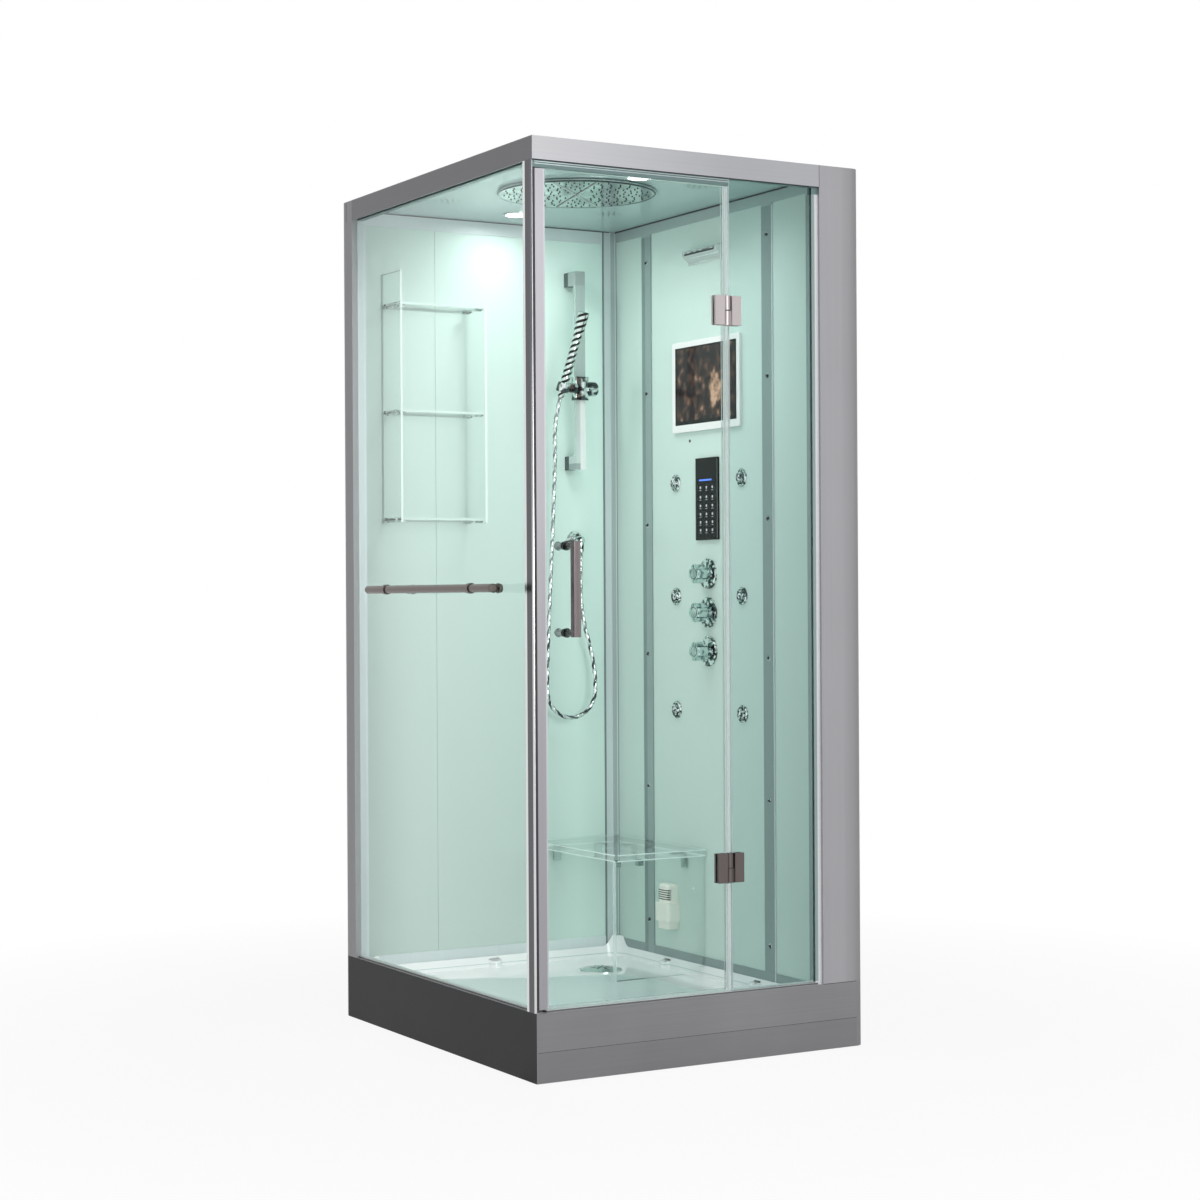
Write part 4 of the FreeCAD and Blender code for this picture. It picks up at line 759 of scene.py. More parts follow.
class Shape:
    """Collects one piece's mesh, in metres and in the row frame."""

    def __init__(self, name: str) -> None:
        """Starts an empty mesh of that name."""
        self.name = name
        self.mesh = bmesh.new()

    def box(self, low: Point, high: Point, bevel: float = 0.0, turn: float = 0.0) -> "Shape":
        """Adds a block.

        Args:
            low: lowest corner.
            high: highest corner.
            bevel: radius of the edges.
            turn: turn about the vertical through its middle, in radians.

        Returns:
            The shape itself.
        """
        size = Vector(high) - Vector(low)
        middle = (Vector(high) + Vector(low)) / 2
        made = bmesh.ops.create_cube(self.mesh, size=1.0, matrix=Matrix.Translation(middle)
                                     @ Matrix.Rotation(turn, 4, "Z") @ Matrix.Diagonal((*size, 1.0)))
        if bevel:
            edges = list({e for v in made["verts"] for e in v.link_edges})
            bmesh.ops.bevel(self.mesh, geom=edges, offset=bevel, segments=2, profile=0.7,
                            affect="EDGES", clamp_overlap=True)
        return self

    def lathe(self, profile: Sequence[tuple[float, float]], start: Point, direction: Point,
              segments: int = 48) -> "Shape":
        """Adds a turned body; a profile that ends where it starts makes a ring.

        Args:
            profile: (radius, distance along the axis) pairs.
            start: where the axis starts.
            direction: where the axis goes.
            segments: faces round the axis.

        Returns:
            The shape itself.
        """
        spin = Vector((0, 0, 1)).rotation_difference(Vector(direction)).to_matrix().to_4x4()
        place = Matrix.Translation(Vector(start)) @ spin
        closed = profile[0] == profile[-1]
        rings = []
        for radius, height in profile[:-1] if closed else profile:
            rings.append([self.mesh.verts.new(place @ Vector((
                radius * math.cos(math.tau * k / segments),
                radius * math.sin(math.tau * k / segments), height))) for k in range(segments)])
        if closed:
            rings.append(rings[0])
        for low, high in zip(rings, rings[1:]):
            for k in range(segments):
                after = (k + 1) % segments
                self.mesh.faces.new((low[k], low[after], high[after], high[k]))
        if not closed:
            self.mesh.faces.new(list(reversed(rings[0])))
            self.mesh.faces.new(rings[-1])
        return self

    def done(self, finish: Finish, body: str, smooth: float = math.radians(40.0)) -> bpy.types.Object:
        """Makes the object.

        Args:
            finish: its finish.
            body: the CAD body it rides on.
            smooth: edges under this angle shade smoothly.

        Returns:
            The new piece.
        """
        bmesh.ops.recalc_face_normals(self.mesh, faces=self.mesh.faces)
        for face in self.mesh.faces:
            face.smooth = True
        for edge in self.mesh.edges:
            if len(edge.link_faces) == 2:
                edge.smooth = edge.calc_face_angle(0.0) < smooth
        data = bpy.data.meshes.new(self.name)
        self.mesh.to_mesh(data)
        self.mesh.free()
        data.materials.append(finish.material())
        return ridden(linked(self.name, data), body)


class Tree(Nodes):
    """A Geometry Nodes tree made in code, run once on a mesh and turned into a plain mesh."""

    def __init__(self, name: str, sizes: dict[str, float]) -> None:
        """Makes the tree with one named input for each size.

        Args:
            name: the tree's name.
            sizes: its inputs by name, with their values.
        """
        group = bpy.data.node_groups.new(name, "GeometryNodeTree")
        super().__init__(group)
        for way in ("INPUT", "OUTPUT"):
            group.interface.new_socket("Geometry", in_out=way, socket_type="NodeSocketGeometry")
        self.sizes = {group.interface.new_socket(
            key, in_out="INPUT", socket_type="NodeSocketFloat").identifier: size
            for key, size in sizes.items()}

    def given(self, name: str) -> Sock:
        """The mesh that the tree starts from, as Geometry, or one of its sizes."""
        return self.node("NodeGroupInput", output=name)

    def run(self, name: str, mesh: bpy.types.Mesh, geometry: Sock, finish: Finish) -> bpy.types.Object:
        """Ends the tree, evaluates it on a mesh and keeps the result as a plain mesh.

        Args:
            name: the new piece's name.
            mesh: the mesh that the tree starts from.
            geometry: what the tree results in.
            finish: the finish that the tree sets.

        Returns:
            The piece, on no body yet.
        """
        real = self.node("GeometryNodeRealizeInstances", {}, {"Geometry": geometry})
        painted = self.node("GeometryNodeSetMaterial", {}, {
            "Geometry": real, "Material": finish.material()})
        self.node("NodeGroupOutput", {}, {"Geometry": painted})
        source = linked(name + "_source", mesh)
        modifier = source.modifiers.new("nodes", "NODES")
        modifier.node_group = self.tree
        for identifier, size in self.sizes.items():
            modifier[identifier] = size
        graph = bpy.context.evaluated_depsgraph_get()
        data = bpy.data.meshes.new_from_object(source.evaluated_get(graph))
        source.modifiers.remove(modifier)
        bpy.data.objects.remove(source)
        data.name = name
        if not data.materials:
            data.materials.append(finish.material())
        return linked(name, data)


def repeat(name: str, places: Iterable[Point], tree: Tree, unit: Sock, direction: Point,
           finish: Finish, body: str) -> bpy.types.Object:
    """Puts one copy of a unit at each place and makes it a piece on a body.

    Args:
        name: the piece's name.
        places: where the copies go, in metres.
        tree: the tree that makes the unit.
        unit: the unit's mesh.
        direction: the way the unit's own Z axis points.
        finish: the finish.
        body: the CAD body that carries them.

    Returns:
        The piece.
    """
    mesh = bpy.data.meshes.new(name + "_places")
    mesh.from_pydata([tuple(p) for p in places], [], [])
    turn = tree.node("FunctionNodeAlignRotationToVector", {"axis": "Z"}, {"Vector": tuple(direction)})
    many = tree.node("GeometryNodeInstanceOnPoints", {}, {
        "Points": tree.given("Geometry"), "Instance": unit, "Rotation": turn})
    return ridden(tree.run(name, mesh, many, finish), body)


def studs(name: str, places: Iterable[Point], direction: Point, radius: float, height: float,
          finish: Finish, body: str, sides: int = 12, taper: float = 0.75) -> bpy.types.Object:
    """Like round heads or holes, one at each place, by Geometry Nodes.

    Args:
        name: the piece's name.
        places: middles of the feet, in metres.
        direction: the way the heads stand out.
        radius: radius of the foot.
        height: how far a head stands out.
        finish: the finish.
        body: the CAD body that carries them.
        sides: faces round each head.
        taper: radius of the top as a share of the foot's.

    Returns:
        The piece.
    """
    tree = Tree(name, {"Radius": radius, "Height": height, "Taper": taper})
    cone = tree.node("GeometryNodeMeshCone", {}, {
        "Vertices": sides, "Radius Bottom": tree.given("Radius"),
        "Radius Top": tree.given("Radius") * tree.given("Taper"), "Depth": tree.given("Height")})
    return repeat(name, places, tree, cone, direction, finish, body)


def bars(name: str, places: Iterable[Point], size: Point, finish: Finish, body: str) -> bpy.types.Object:
    """Like blocks, one round each place, by Geometry Nodes.

    Args:
        name: the piece's name.
        places: middles, in metres.
        size: lengths along X, Y and Z.
        finish: the finish.
        body: the CAD body that carries them.

    Returns:
        The piece.
    """
    tree = Tree(name, dict(zip("XYZ", size)))
    whole = tree.node("ShaderNodeCombineXYZ", {}, {key: tree.given(key) for key in "XYZ"})
    cube = tree.node("GeometryNodeMeshCube", {}, {"Size": whole})
    return repeat(name, places, tree, cube, (0, 0, 1), finish, body)


def ring_places(centre: Point, radius: float, count: int, axis: str, start: float = 0.0) -> list[Vector]:
    """Places evenly round a circle.

    Args:
        centre: its centre.
        radius: its radius.
        count: how many places.
        axis: the axis that the circle turns round, X or Z.
        start: angle of the first, in radians.

    Returns:
        The places.
    """
    places = []
    for k in range(count):
        a, b = (radius * f(start + math.tau * k / count) for f in (math.cos, math.sin))
        places.append(Vector(centre) + Vector((0, a, b) if axis == "X" else (a, b, 0)))
    return places


@dataclass
class Assembly:
    """A group of CAD nodes and the small pieces that go with them."""

    finishes: ClassVar[dict[str, Finish]] = {}

    def build(self) -> None:
        """Makes the group's own pieces."""
        raise NotImplementedError

    def dress(self) -> None:
        """Gives the group's CAD nodes their finishes."""
        for node, finish in self.finishes.items():
            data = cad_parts[node].data
            data.materials.clear()
            data.materials.append(finish.material())
            log.info("%s wears %s", node, finish.name)


# ------------------------------------------------------------------ studio
@dataclass
class Studio:
    """Pale floor, soft lamps and the camera."""

    camera_at: Point = (-3.0042, -5.2516, 1.0988)
    yaw: float = math.radians(29.951)
    pitch: float = math.radians(-0.018)
    roll: float = math.radians(-0.321)
    lens: float = 71.11
    floor_half: float = 15.0
    world_level: float = 0.13

    def build(self) -> None:
        """Makes all of it."""
        self.camera()
        self.world()
        self.floor()
        self.lamp("key", (0.15, -5.7, 2.0), (0.0, 0.0, 1.1), (2.6, 2.2), 128.0)
        self.lamp("top", (0.3, -0.8, 5.2), (0.0, 0.0, 1.0), (2.6, 2.6), 40.0)
        self.lamp("inside_top", (-0.05, -0.05, 2.09), (-0.05, -0.05, 0.0), (0.62, 0.74), 2.5, False, 125.0)
        self.lamp("inside_left", (-0.43, -0.06, 1.06), (0.5, -0.06, 1.06), (0.74, 1.94), 4.5, False)
        for place in ((-0.043, 0.318), (-0.043, -0.318)):
            self.lamp("down_%d" % (place[1] > 0), (*place, 2.112), (*place, 0.0), (0.06, 0.06), 0.9, False)

    def camera(self) -> None:
        """Puts the camera where the photograph was taken from."""
        ahead = Vector((math.sin(self.yaw) * math.cos(self.pitch),
                        math.cos(self.yaw) * math.cos(self.pitch), math.sin(self.pitch)))
        level = Vector((math.cos(self.yaw), -math.sin(self.yaw), 0.0))
        above = level.cross(ahead)
        right = level * math.cos(self.roll) + above * math.sin(self.roll)
        up = above * math.cos(self.roll) - level * math.sin(self.roll)
        data = bpy.data.cameras.new("camera")
        data.lens = self.lens
        data.sensor_width = 36.0
        eye = linked("camera", data)
        turn = Matrix((right, up, -ahead)).transposed().to_4x4()
        eye.matrix_world = Matrix.Translation(Vector(self.camera_at)) @ turn
        bpy.context.scene.camera = eye

    def world(self) -> None:
        """Even pale light, white to the eye."""
        world = bpy.data.worlds.new("world")
        bpy.context.scene.world = world
        world.use_nodes = True
        shade = Shade(world.node_tree)
        level = self.world_level + shade.seen() * (1.0 - self.world_level)
        back = shade.node("ShaderNodeBackground", {}, {"Color": PURE_WHITE, "Strength": level})
        shade.node("ShaderNodeOutputWorld", {}, {"Surface": back})

    def floor(self) -> None:
        """Pale floor that runs out to white."""
        data = bpy.data.meshes.new("floor")
        half = self.floor_half
        corners = [(-half, -half, 0), (half, -half, 0), (half, half, 0), (-half, half, 0)]
        data.from_pydata(corners, [], [(0, 1, 2, 3)])
        data.materials.append(FLOOR.material())
        floor = linked("floor", data)

    @staticmethod
    def lamp(name: str, place: Point, aim: Point, size: Point, power: float, shown: bool = True,
             spread: float = 180.0) -> None:
        """One soft rectangular lamp.

        Args:
            name: its name.
            place: where it hangs.
            aim: the point it faces.
            size: width and height.
            power: watts.
            shown: whether the camera and mirrors see it.
            spread: angle of its light in degrees.
        """
        data = bpy.data.lights.new(name, "AREA")
        data.shape = "RECTANGLE"
        data.size, data.size_y = size
        data.energy = power
        data.spread = math.radians(spread)
        lamp = linked(name, data)
        lamp.location = place
        lamp.rotation_euler = (Vector(aim) - Vector(place)).to_track_quat("-Z", "Y").to_euler()
        lamp.visible_camera = lamp.visible_glossy = lamp.visible_transmission = shown


# ------------------------------------------------------------------ hose
@dataclass
class Hose:
    """Spiral shower hose that hangs from the hand shower to the wall outlet."""

    diameter: float = 0.012
    lobe: float = 0.0005
    pitch: float = 0.034
    step: float = 0.0014
    route: tuple[Point, ...] = (
        (0.13123, 0.39916, 1.65035), (0.1210, 0.4145, 1.5932), (0.127, 0.424, 1.486),
        (0.123, 0.430, 1.320), (0.115, 0.432, 1.150), (0.106, 0.431, 0.985), (0.101, 0.430, 0.878),
        (0.103, 0.429, 0.816), (0.147, 0.428, 0.774), (0.207, 0.427, 0.775), (0.250, 0.427, 0.817),
        (0.253, 0.428, 0.886), (0.242, 0.431, 0.957), (0.221, 0.434, 1.027), (0.212, 0.437, 1.097),
        (0.213, 0.438, 1.168), (0.213, 0.438, 1.228))

    def line(self) -> list[Vector]:
        """Points of the smooth line that the route's points draw.

        Returns:
            The points, in metres.
        """
        data = bpy.data.curves.new("hose_line", "CURVE")
        data.dimensions = "3D"
        data.resolution_u = 24
        spline = data.splines.new("NURBS")
        spline.points.add(len(self.route) - 1)
        for point, place in zip(spline.points, self.route):
            point.co = (*place, 1.0)
        spline.order_u = 3
        spline.use_endpoint_u = True
        holder = linked("hose_line", data)
        graph = bpy.context.evaluated_depsgraph_get()
        mesh = bpy.data.meshes.new_from_object(holder.evaluated_get(graph))
        points = [v.co.copy() for v in mesh.vertices]
        bpy.data.objects.remove(holder)
        return points

    @staticmethod
    def marked(tree: Tree, geometry: Sock, name: str, value: Sock) -> Sock:
        """The geometry with a value kept on its points under a name."""
        return tree.node("GeometryNodeStoreNamedAttribute", {"data_type": "FLOAT", "domain": "POINT"}, {
            "Geometry": geometry, "Name": name, "Value": value})

    def build(self) -> None:
        """Sweeps a lobed section along the line, turning as it goes, so that the lobes spiral."""
        points = self.line()
        mesh = bpy.data.meshes.new("hose_path")
        mesh.from_pydata(points, [(k, k + 1) for k in range(len(points) - 1)], [])
        tree = Tree("shower_hose_tree", {"Radius": self.diameter / 2, "Lobe": self.lobe, "Pitch": self.pitch,
                                         "Step": self.step})
        curve = tree.node("GeometryNodeMeshToCurve", {}, {"Mesh": tree.given("Geometry")})
        fine = tree.node("GeometryNodeResampleCurve", {"mode": "LENGTH"}, {
            "Curve": curve, "Length": tree.given("Step")})
        along = tree.node("GeometryNodeSplineParameter", output="Length")
        turned = tree.node("GeometryNodeSetCurveTilt", {}, {
            "Curve": fine, "Tilt": along / tree.given("Pitch") * math.tau})
        ring = tree.node("GeometryNodeCurvePrimitiveCircle", {}, {
            "Resolution": 16, "Radius": tree.given("Radius")})
        around = tree.node("GeometryNodeSplineParameter", output="Factor")
        wave = (around * (2 * math.tau)).cosine()
        shift = tree.node("ShaderNodeVectorMath", {"operation": "SCALE"}, {
            0: tree.node("GeometryNodeInputPosition"),
            "Scale": (wave - 1.0) * (tree.given("Lobe") / tree.given("Radius"))})
        lobed = tree.node("GeometryNodeSetPosition", {}, {"Geometry": ring, "Offset": shift})
        tube = tree.node("GeometryNodeCurveToMesh", {}, {
            "Curve": self.marked(tree, turned, "along", along),
            "Profile Curve": self.marked(tree, lobed, "around", around), "Fill Caps": True})
        hose = tree.run("hose_tube", mesh, tube, HOSE)
        hose.data.shade_smooth()
        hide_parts("shower_hose")
        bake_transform(hose)


# ------------------------------------------------------------------ base
COLUMN_LEFT = 0.335
UP = (0, 0, 1)
DOWN = (0, 0, -1)
LEFT = (-1, 0, 0)


@dataclass
class Base(Assembly):
    """Tray, skirts, frame, feet and drain."""

    finishes = {"shower_tray": ACRYLIC, "base_skirts": SKIRT, "front_kick_panel": KICK, "tray_frame": STEEL,
                "levelling_feet": STEEL, "drain_body": WHITE, "drain_cover": SOFT_CHROME}
    line: float = 0.0009
    proud: float = 0.0002
    corner_round: float = 0.024

    def build(self) -> None:
        """Adds the shadow lines where the panels meet, and the cover's rivet."""
        low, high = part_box("base_skirts")
        kick_low, kick_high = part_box("front_kick_panel")
        lines = Shape("base_joint_lines")
        lines.box((kick_low.x, low.y - self.proud, kick_high.z - self.line / 2),
                  (kick_high.x, low.y + self.proud, kick_high.z + self.line / 2))
        lines.box((COLUMN_LEFT, low.y - self.proud, high.z - self.line),
                  (high.x - self.corner_round, low.y + self.proud, high.z + self.line / 2))
        lines.done(SHADOW_LINE, "cabin")
        low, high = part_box("drain_cover")
        middle = (low + high) / 2
        Shape("drain_cover_pin").lathe(
            [(0.0075, 0.0), (0.0075, 0.0008), (0.006, 0.0016)],
            (middle.x, middle.y, high.z - 0.0004), UP, 24).done(SOFT_CHROME, "drain_cover")


# ------------------------------------------------------------------ frame and glass
@dataclass
class Enclosure(Assembly):
    """Post, columns, rails, fixed panes and fascia."""

    finishes = {"corner_post": POST, "corner_columns": SILVER, "glass_rails": RAILS,
                "fixed_glass": LEFT_PANE, "roof_fascia": FASCIA, "towel_rail": NICKEL_Y}
    rib_heights: tuple[float, ...] = (2.0885, 2.0935, 2.0975)
    rib_half: float = 0.0008
    pane_split: float = 0.0770
    rear_seam: float = 0.4985
    seam_half: float = 0.0005
    proud: float = 0.0003
    roof_joint_shadows: tuple[tuple[Point, Point], ...] = (
        ((0.3452, -0.4800, 2.1206), (0.3472, 0.4700, 2.1238)),
        ((-0.4380, 0.4700, 2.1216), (0.3450, 0.4716, 2.1238)))

    def build(self) -> None:
        """Adds the ribs of the header, the seams of the fascia, and painted shadow strips under the fascia
        and where the roof meets the walls.
        """
        rails_low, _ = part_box("glass_rails")
        glass_low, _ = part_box("door_glass")
        low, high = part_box("roof_fascia")
        ribs = Shape("header_ribs")
        for height in self.rib_heights:
            ribs.box((rails_low.x + 0.006, glass_low.y - 0.0011, height - self.rib_half),
                     (self.pane_split, glass_low.y + 0.0004, height + self.rib_half), self.proud)
        ribs.done(BACK_FRAME, "cabin")
        seams = Shape("fascia_seams")
        seams.box((COLUMN_LEFT - self.seam_half, low.y - self.proud, low.z),
                  (COLUMN_LEFT + self.seam_half, low.y + self.proud, high.z - 0.0002))
        seams.box((low.x - self.proud, self.rear_seam - self.seam_half, low.z),
                  (low.x + self.proud, self.rear_seam + self.seam_half, high.z - 0.0002))
        seams.done(SHADOW_LINE, "cabin")
        # painted shadow: dark strips under the fascia's front and where the roof meets the two walls
        edge = Shape("roof_edge_shadows")
        edge.box((low.x + 0.004, low.y + 0.0004, low.z - 0.0014),
                 (COLUMN_LEFT - 0.0002, low.y + 0.0026, low.z + 0.0004))
        for corners in self.roof_joint_shadows:
            edge.box(*corners)
        edge.done(SHADOW_LINE, "cabin")


@dataclass
class Door(Assembly):
    """Hinged glass door."""

    finishes = {"door_glass": DOOR_PANE, "door_stile": STILE, "door_seals": SEALS, "door_handle": NICKEL,
                "hinge_leaves_door": HINGE, "hinge_leaves_fixed": HINGE}
    hinge_places: tuple[float, ...] = (0.459, 1.783)
    hinge_half: float = 0.0362
    pin_at: tuple[float, float] = (0.072, -0.5215)
    lip_from: float = 0.0590
    lip_thickness: float = 0.0006

    def build(self) -> None:
        """Adds the lips of the clear edge strip and the shadow gaps of the hinge barrels."""
        low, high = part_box("door_glass")
        seal_low, seal_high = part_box("door_seals")
        lips = Shape("door_edge_lips")
        hinges = [z + side * self.hinge_half for z in self.hinge_places for side in (-1, 1)]
        ends = [seal_low.z, *hinges, high.z]
        for bottom, top in zip(ends[::2], ends[1::2]):
            for near, far in ((low.y - self.lip_thickness, low.y - 0.0001),
                              (high.y + 0.0001, high.y + self.lip_thickness)):
                lips.box((self.lip_from, near, bottom + 0.001), (seal_high.x - 0.0004, far, top - 0.001))
        lips.done(LIP, "door")
        gaps = Shape("hinge_barrel_gaps")
        for z in self.hinge_places:
            gaps.lathe([(0.0092, -0.0007), (0.0097, -0.0007), (0.0097, 0.0007), (0.0092, 0.0007),
                        (0.0092, -0.0007)], (*self.pin_at, z), UP, 32)
            gaps.box((0.0665, -0.5319, z - 0.0013), (0.0775, -0.5305, z + 0.0013), 0.0003)
        gaps.done(DARK, "cabin")


# ------------------------------------------------------------------ walls
@dataclass
class Walls(Assembly):
    """Rear and right wall with their cover strips."""

    finishes = {"back_wall_panels": BACK_MINT, "back_wall_frame": BACK_FRAME, "right_wall_panels": MINT,
                "right_wall_frame": RIGHT_FRAME}
    screw_heights: tuple[float, ...] = (2.017, 1.660, 1.300, 0.948, 0.588, 0.222)
    strip_places: tuple[float, ...] = (0.302, -0.286)
    washer: float = 0.0010
    sensor_at: tuple[float, float] = (0.086, 1.518)
    tip_at: tuple[float, float] = (0.080, 0.329)

    def build(self) -> None:
        """Adds the button screws on the cover strips, each in its washer, and two small marks."""
        low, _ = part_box("right_wall_frame")
        places = [(low.x, y, z) for y in self.strip_places for z in self.screw_heights]
        studs("strip_screw_washers", places, LEFT, 0.0065, self.washer, CHROME, "cabin", 16, 0.9)
        heads = [(x - self.washer, y, z) for x, y, z in places]
        studs("strip_screws", heads, LEFT, 0.0042, 0.0026, DARK, "cabin", 12, 0.7)
        panel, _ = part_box("right_wall_panels")
        studs("wall_sensor", [(panel.x, *self.sensor_at)], LEFT, 0.0042, 0.0016, DARK, "cabin", 16)
        studs("wall_temperature_tip", [(panel.x, *self.tip_at)], LEFT, 0.0032, 0.0024, WHITE, "cabin", 16)


# ------------------------------------------------------------------ roof
@dataclass
class Roof(Assembly):
    """Ceiling sheet, rain head, lamps, speakers and fan."""

    finishes = {"roof_panel": CEILING, "rain_head": SOFT_CHROME, "downlights": SOFT_CHROME,
                "ceiling_speakers": DARK, "fan_housing": DARK, "fan_impeller": DARK}
    lens_radius: float = 0.030
    lens_inset: float = 0.038
    nozzle_count: int = 230
    centre_nozzles: int = 12
    nozzle_reach: float = 0.186
    ceiling_height: float = 2.124
    grille_places: tuple[tuple[float, float], ...] = ((-0.298, 0.218), (0.156, -0.276), (0.170, 0.200))
    grille_rings: tuple[tuple[float, int], ...] = ((0.0, 1), (0.016, 6), (0.032, 12))
    ridge_turns: tuple[float, float] = (math.radians(44.0), math.radians(76.0))
    ridge: Point = (0.370, 0.004, 0.0016)
    ridge_clearance: float = 0.0045

    def build(self) -> None:
        """Adds lamp lenses, ceiling grilles, rain nozzles, and the ridges and rim of the head."""
        low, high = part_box("downlights")
        lenses = Shape("downlight_lenses")
        for y in (low.y + self.lens_inset, high.y - self.lens_inset):
            lenses.lathe([(self.lens_radius, 0.0), (self.lens_radius, 0.0012)],
                         ((low.x + high.x) / 2, y, low.z), DOWN)
        lenses.done(LED, "cabin")
        holes = []
        for place in self.grille_places:
            for ring, count in self.grille_rings:
                holes += ring_places((*place, self.ceiling_height + 0.0002), ring, count, "Z")
        studs("ceiling_grille_shadows", holes, DOWN, 0.0034, 0.0004, DARK, "cabin", 6, 0.98)
        low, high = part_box("rain_head")
        centre = (low + high) / 2
        centre.z = low.z
        places = [centre + offset for offset in self.nozzle_offsets()]
        studs("rain_nozzles", places, DOWN, 0.0020, 0.0019, DARK, "cabin", 8, 0.9)
        self.ridges(centre)
        Shape("rain_head_rim").lathe(
            [(0.1955, -0.0008), (0.1987, -0.0004), (0.1998, 0.0016), (0.1975, 0.0020), (0.1955, -0.0008)],
            centre, UP, 96).done(HEAD_RIM, "cabin")

    def nozzle_offsets(self) -> list[Vector]:
        """Nozzle places from the head's middle, as seeds in a sunflower, clear of the ridges.

        Returns:
            The places.
        """
        golden = math.pi * (3.0 - math.sqrt(5.0))
        offsets = []
        for k in range(self.centre_nozzles, self.nozzle_count):
            reach = self.nozzle_reach * math.sqrt(k / self.nozzle_count)
            offset = Vector((reach * math.cos(golden * k), reach * math.sin(golden * k), 0.0))
            gap = min(abs(offset.y * math.cos(turn) - offset.x * math.sin(turn))
                      for turn in self.ridge_turns)
            if gap > self.ridge[1] / 2 + self.ridge_clearance:
                offsets.append(offset)
        return offsets

    def ridges(self, centre: Vector) -> None:
        """Two ridges across the head, each with a thin dark strip along one side.

        Args:
            centre: middle of the head's underside.
        """
        length, width, height = self.ridge
        for number, turn in enumerate(self.ridge_turns):
            for name, finish, side in (("ridge", SPOUT, 0.0), ("ridge_shadow", DARK, 0.7)):
                middle = centre + Vector((-math.sin(turn), math.cos(turn), 0.0)) * width * side
                half = Vector((length / 2, width * (1.0 - side * 0.4) / 2, 0.0))
                down = Vector((0, 0, height * 0.5 if side else height))
                Shape("rain_head_%s_%d" % (name, number + 1)).box(
                    middle - half - down, middle + half + Vector((0, 0, 0.0004)), turn=turn).done(
                    finish, "cabin")


# ------------------------------------------------------------------ right wall fittings
KNOBS = ("top", "middle", "bottom")


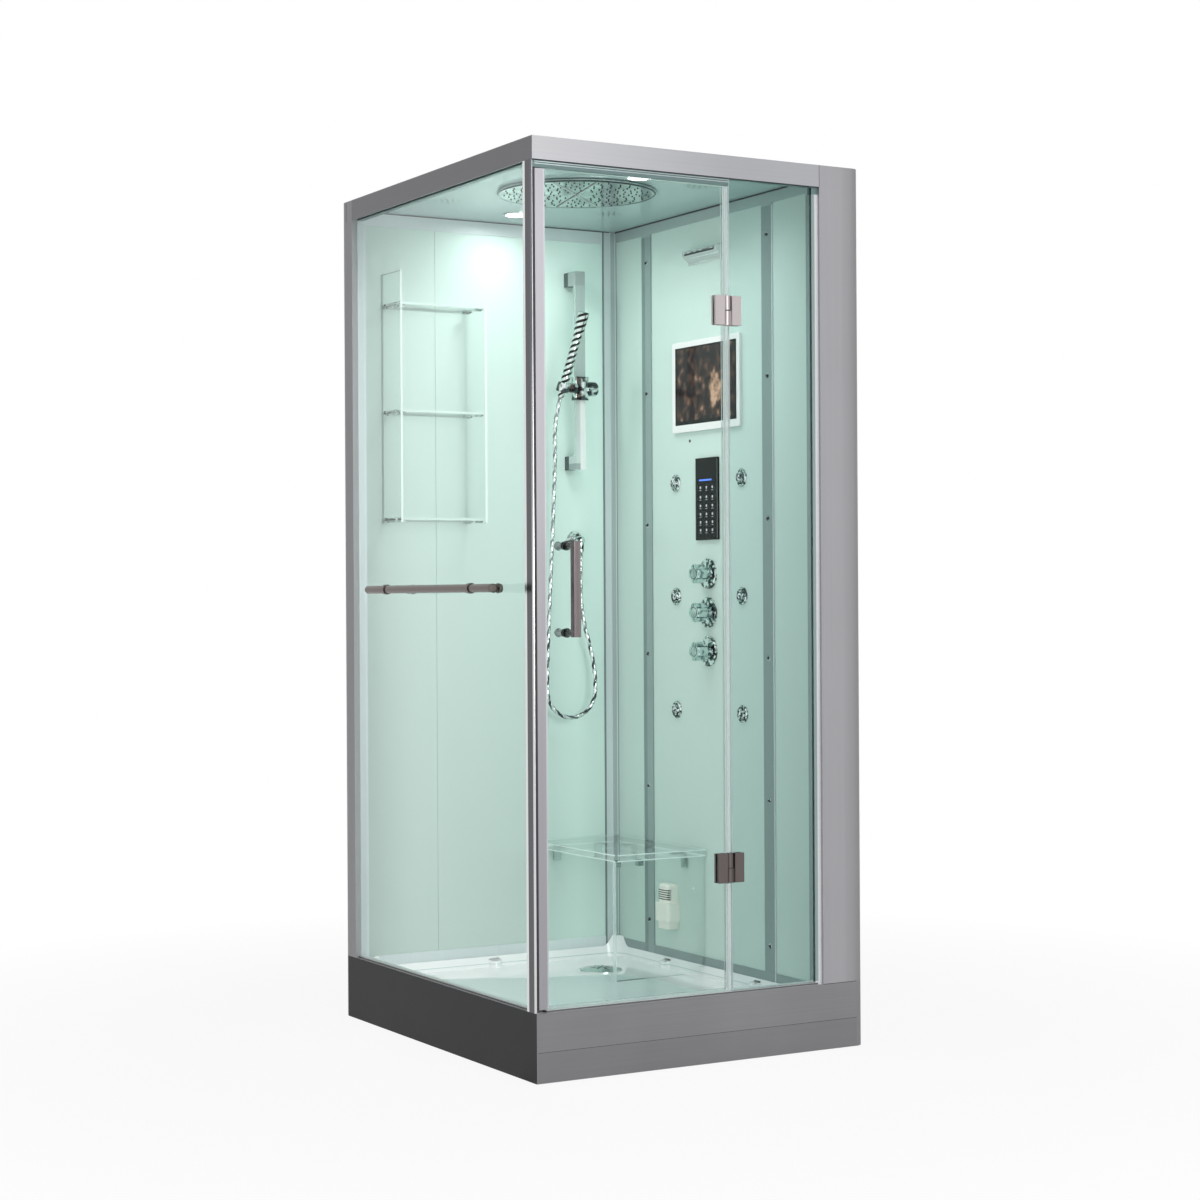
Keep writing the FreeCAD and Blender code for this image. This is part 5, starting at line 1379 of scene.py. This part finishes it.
@dataclass
class Controls(Assembly):
    """Screen, control panel, mixer knobs, jets, spout, steam outlet and what feeds them."""

    finishes = {"monitor_bezel": WHITE, "monitor_screen": SCREEN, "control_panel": GLOSS_BLACK,
                "valve_plates": CHROME, **{"valve_knob_" + place: KNOB_CHROME for place in KNOBS},
                "valve_manifold": BRASS, "jet_rings": FINE_CHROME,
                **{"jet_nozzle_%d" % number: FINE_CHROME for number in range(1, 7)},
                "waterfall_spout": SPOUT, "steam_outlet": CREAM, "steam_generator": STEEL}
    display_low: tuple[float, float] = (-0.028, 1.4085)
    display_high: tuple[float, float] = (0.032, 1.4125)
    rim_side: float = 0.0525
    icon_rows: tuple[float, ...] = (1.391, 1.366, 1.343, 1.321, 1.300, 1.279)
    icon_columns: tuple[float, ...] = (0.026, -0.003, -0.032)
    jet_sides: tuple[float, ...] = (0.157, -0.163)
    jet_heights: tuple[float, ...] = (1.409, 1.105, 0.802)
    outlet_ring: float = 0.0172
    outlet_count: int = 8
    outlet_turn: float = 0.39
    mouth: tuple[float, float] = (2.0053, 2.0097)
    lip: tuple[float, float] = (2.0103, 2.0122)
    frame_width: float = 0.006
    lowest_slot: Point = (0.3230, 0.185, 0.2925)
    slot_pitch: float = 0.006
    slot_count: int = 5

    def build(self) -> None:
        """Adds the small pieces of every fitting."""
        self.panel()
        self.jets()
        for place in KNOBS:
            self.knob(place)
        self.spout()
        self.steam()

    def panel(self) -> None:
        """Blue display with plain round keys and bars under it, no lettering."""
        low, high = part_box("control_panel")
        Shape("panel_display").box((low.x - 0.0004, *self.display_low),
                                   (low.x + 0.0002, *self.display_high)).done(BLUE, "cabin")
        middle = (low + high) / 2
        rim = Shape("panel_rim")
        for y in (middle.y - self.rim_side, middle.y + self.rim_side):
            rim.box((low.x - 0.0003, y - 0.0006, low.z + 0.003),
                    (low.x + 0.0002, y + 0.0006, high.z - 0.003))
        rim.done(STEEL, "cabin")
        places = [(low.x, y, z) for z in self.icon_rows for y in self.icon_columns]
        studs("panel_keys", places, LEFT, 0.0036, 0.0003, ICON, "cabin", 16, 0.95)
        under = [(x, y, z - 0.0075) for x, y, z in places]
        bars("panel_key_bars", under, (0.0005, 0.0085, 0.0012), ICON, "cabin")

    def jets(self) -> None:
        """Dark discs of painted shade for the outlet holes round each jet's ring."""
        low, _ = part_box("jet_rings")
        holes = []
        for y in self.jet_sides:
            for z in self.jet_heights:
                holes += ring_places((low.x + 0.0006, y, z), self.outlet_ring, self.outlet_count, "X",
                                     self.outlet_turn)
        studs("jet_ring_outlets", holes, LEFT, 0.0023, 0.0010, DARK, "cabin", 10, 0.9)

    @staticmethod
    def knob(place: str) -> None:
        """Cap on a knob's end, with a dark ring of painted shade for its groove and a pointer line.

        Args:
            place: the knob's place: top, middle or bottom.
        """
        low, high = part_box("valve_knob_" + place)
        middle = (low + high) / 2
        Shape("knob_cap_" + place).lathe(
            [(0.0125, 0.0), (0.0125, 0.0008), (0.0110, 0.0018), (0.0070, 0.0024)],
            (low.x + 0.0004, middle.y, middle.z), LEFT).done(SOFT_CHROME, place + "_knob")
        mark = Shape("knob_mark_" + place)
        mark.box((low.x - 0.0004, middle.y - 0.0008, middle.z + 0.0145),
                 (low.x + 0.0004, middle.y + 0.0008, middle.z + 0.0225))
        mark.lathe([(0.0128, 0.0), (0.0140, 0.0), (0.0140, 0.0006), (0.0128, 0.0006), (0.0128, 0.0)],
                   (low.x + 0.0002, middle.y, middle.z), LEFT)
        mark.done(DARK, place + "_knob")

    def spout(self) -> None:
        """Frame on the wall, a dark block of painted shade in the spout's mouth, and its bright upper lip.
        """
        low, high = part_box("waterfall_spout")
        panel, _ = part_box("right_wall_panels")
        # painted shade: a dark block inside the mouth
        Shape("spout_mouth").box((low.x + 0.0012, low.y + 0.0095, self.mouth[0]),
                                 (low.x + 0.012, high.y - 0.0095, self.mouth[1])).done(DARK, "cabin")
        Shape("spout_lip").box((low.x - 0.0006, low.y + 0.004, self.lip[0]),
                               (low.x + 0.0010, high.y - 0.004, self.lip[1]), 0.0003).done(CHROME, "cabin")
        rim = Shape("spout_wall_frame")
        wide = self.frame_width
        for (y0, z0), (y1, z1) in (
                ((low.y - wide, high.z), (high.y + wide, high.z + wide)),
                ((low.y - wide, low.z - wide), (high.y + wide, low.z)),
                ((low.y - wide, low.z), (low.y, high.z)), ((high.y, low.z), (high.y + wide, high.z))):
            rim.box((panel.x - 0.002, y0, z0), (panel.x - 0.0001, y1, z1), 0.0005)
        rim.done(SPOUT, "cabin")

    def steam(self) -> None:
        """Dark insides of the steam outlet's slots."""
        x, y, z = self.lowest_slot
        places = [(x, y, z + k * self.slot_pitch) for k in range(self.slot_count)]
        bars("steam_slot_shadows", places, (0.0060, 0.0492, 0.0028), DARK, "cabin")


# ------------------------------------------------------------------ rear wall fittings
@dataclass
class RearFittings(Assembly):
    """Shelf unit, riser rail with hand shower, and bench."""

    finishes = {"shelf_side_plates": SHELF_PLATE, "glass_shelves": SHELF, "shelf_clips": SOFT_CHROME,
                "riser_rail": RISER, "slider": BOLD_CHROME, "slider_knob": BOLD_CHROME,
                "handset_holder": BOLD_CHROME, "hand_shower": GRIP, "hose_outlet": CHROME,
                "bench_seat": SEAT, "bench_leg": SEAT_LEG, "bench_brackets": SOFT_CHROME}
    shelf_tops: tuple[float, ...] = (1.878, 1.597, 1.315)
    pin_drop: float = 0.003
    pin_sides: tuple[tuple[str, float, int], ...] = (("left", -0.370, -1), ("right", -0.117, 1))
    pin_depths: tuple[float, ...] = (0.382, 0.447)

    def build(self) -> None:
        """Adds the round pins that hold the shelves in the side plates."""
        for name, x, way in self.pin_sides:
            places = [(x, y, z - self.pin_drop) for y in self.pin_depths for z in self.shelf_tops]
            studs("shelf_pins_" + name, places, (way, 0, 0), 0.0050, 0.0030, CHROME, "cabin", 16, 0.8)


def main() -> None:
    """Builds the studio and every sub-assembly in order."""
    logging.basicConfig(level=logging.INFO, format="%(name)s %(message)s")
    bpy.context.scene.view_settings.view_transform = "Standard"
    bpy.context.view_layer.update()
    Studio().build()
    Hose().build()
    for assembly in (Base(), Enclosure(), Door(), Walls(), Roof(), Controls(), RearFittings()):
        assembly.build()
        assembly.dress()


if __name__ == "__main__":
    main()
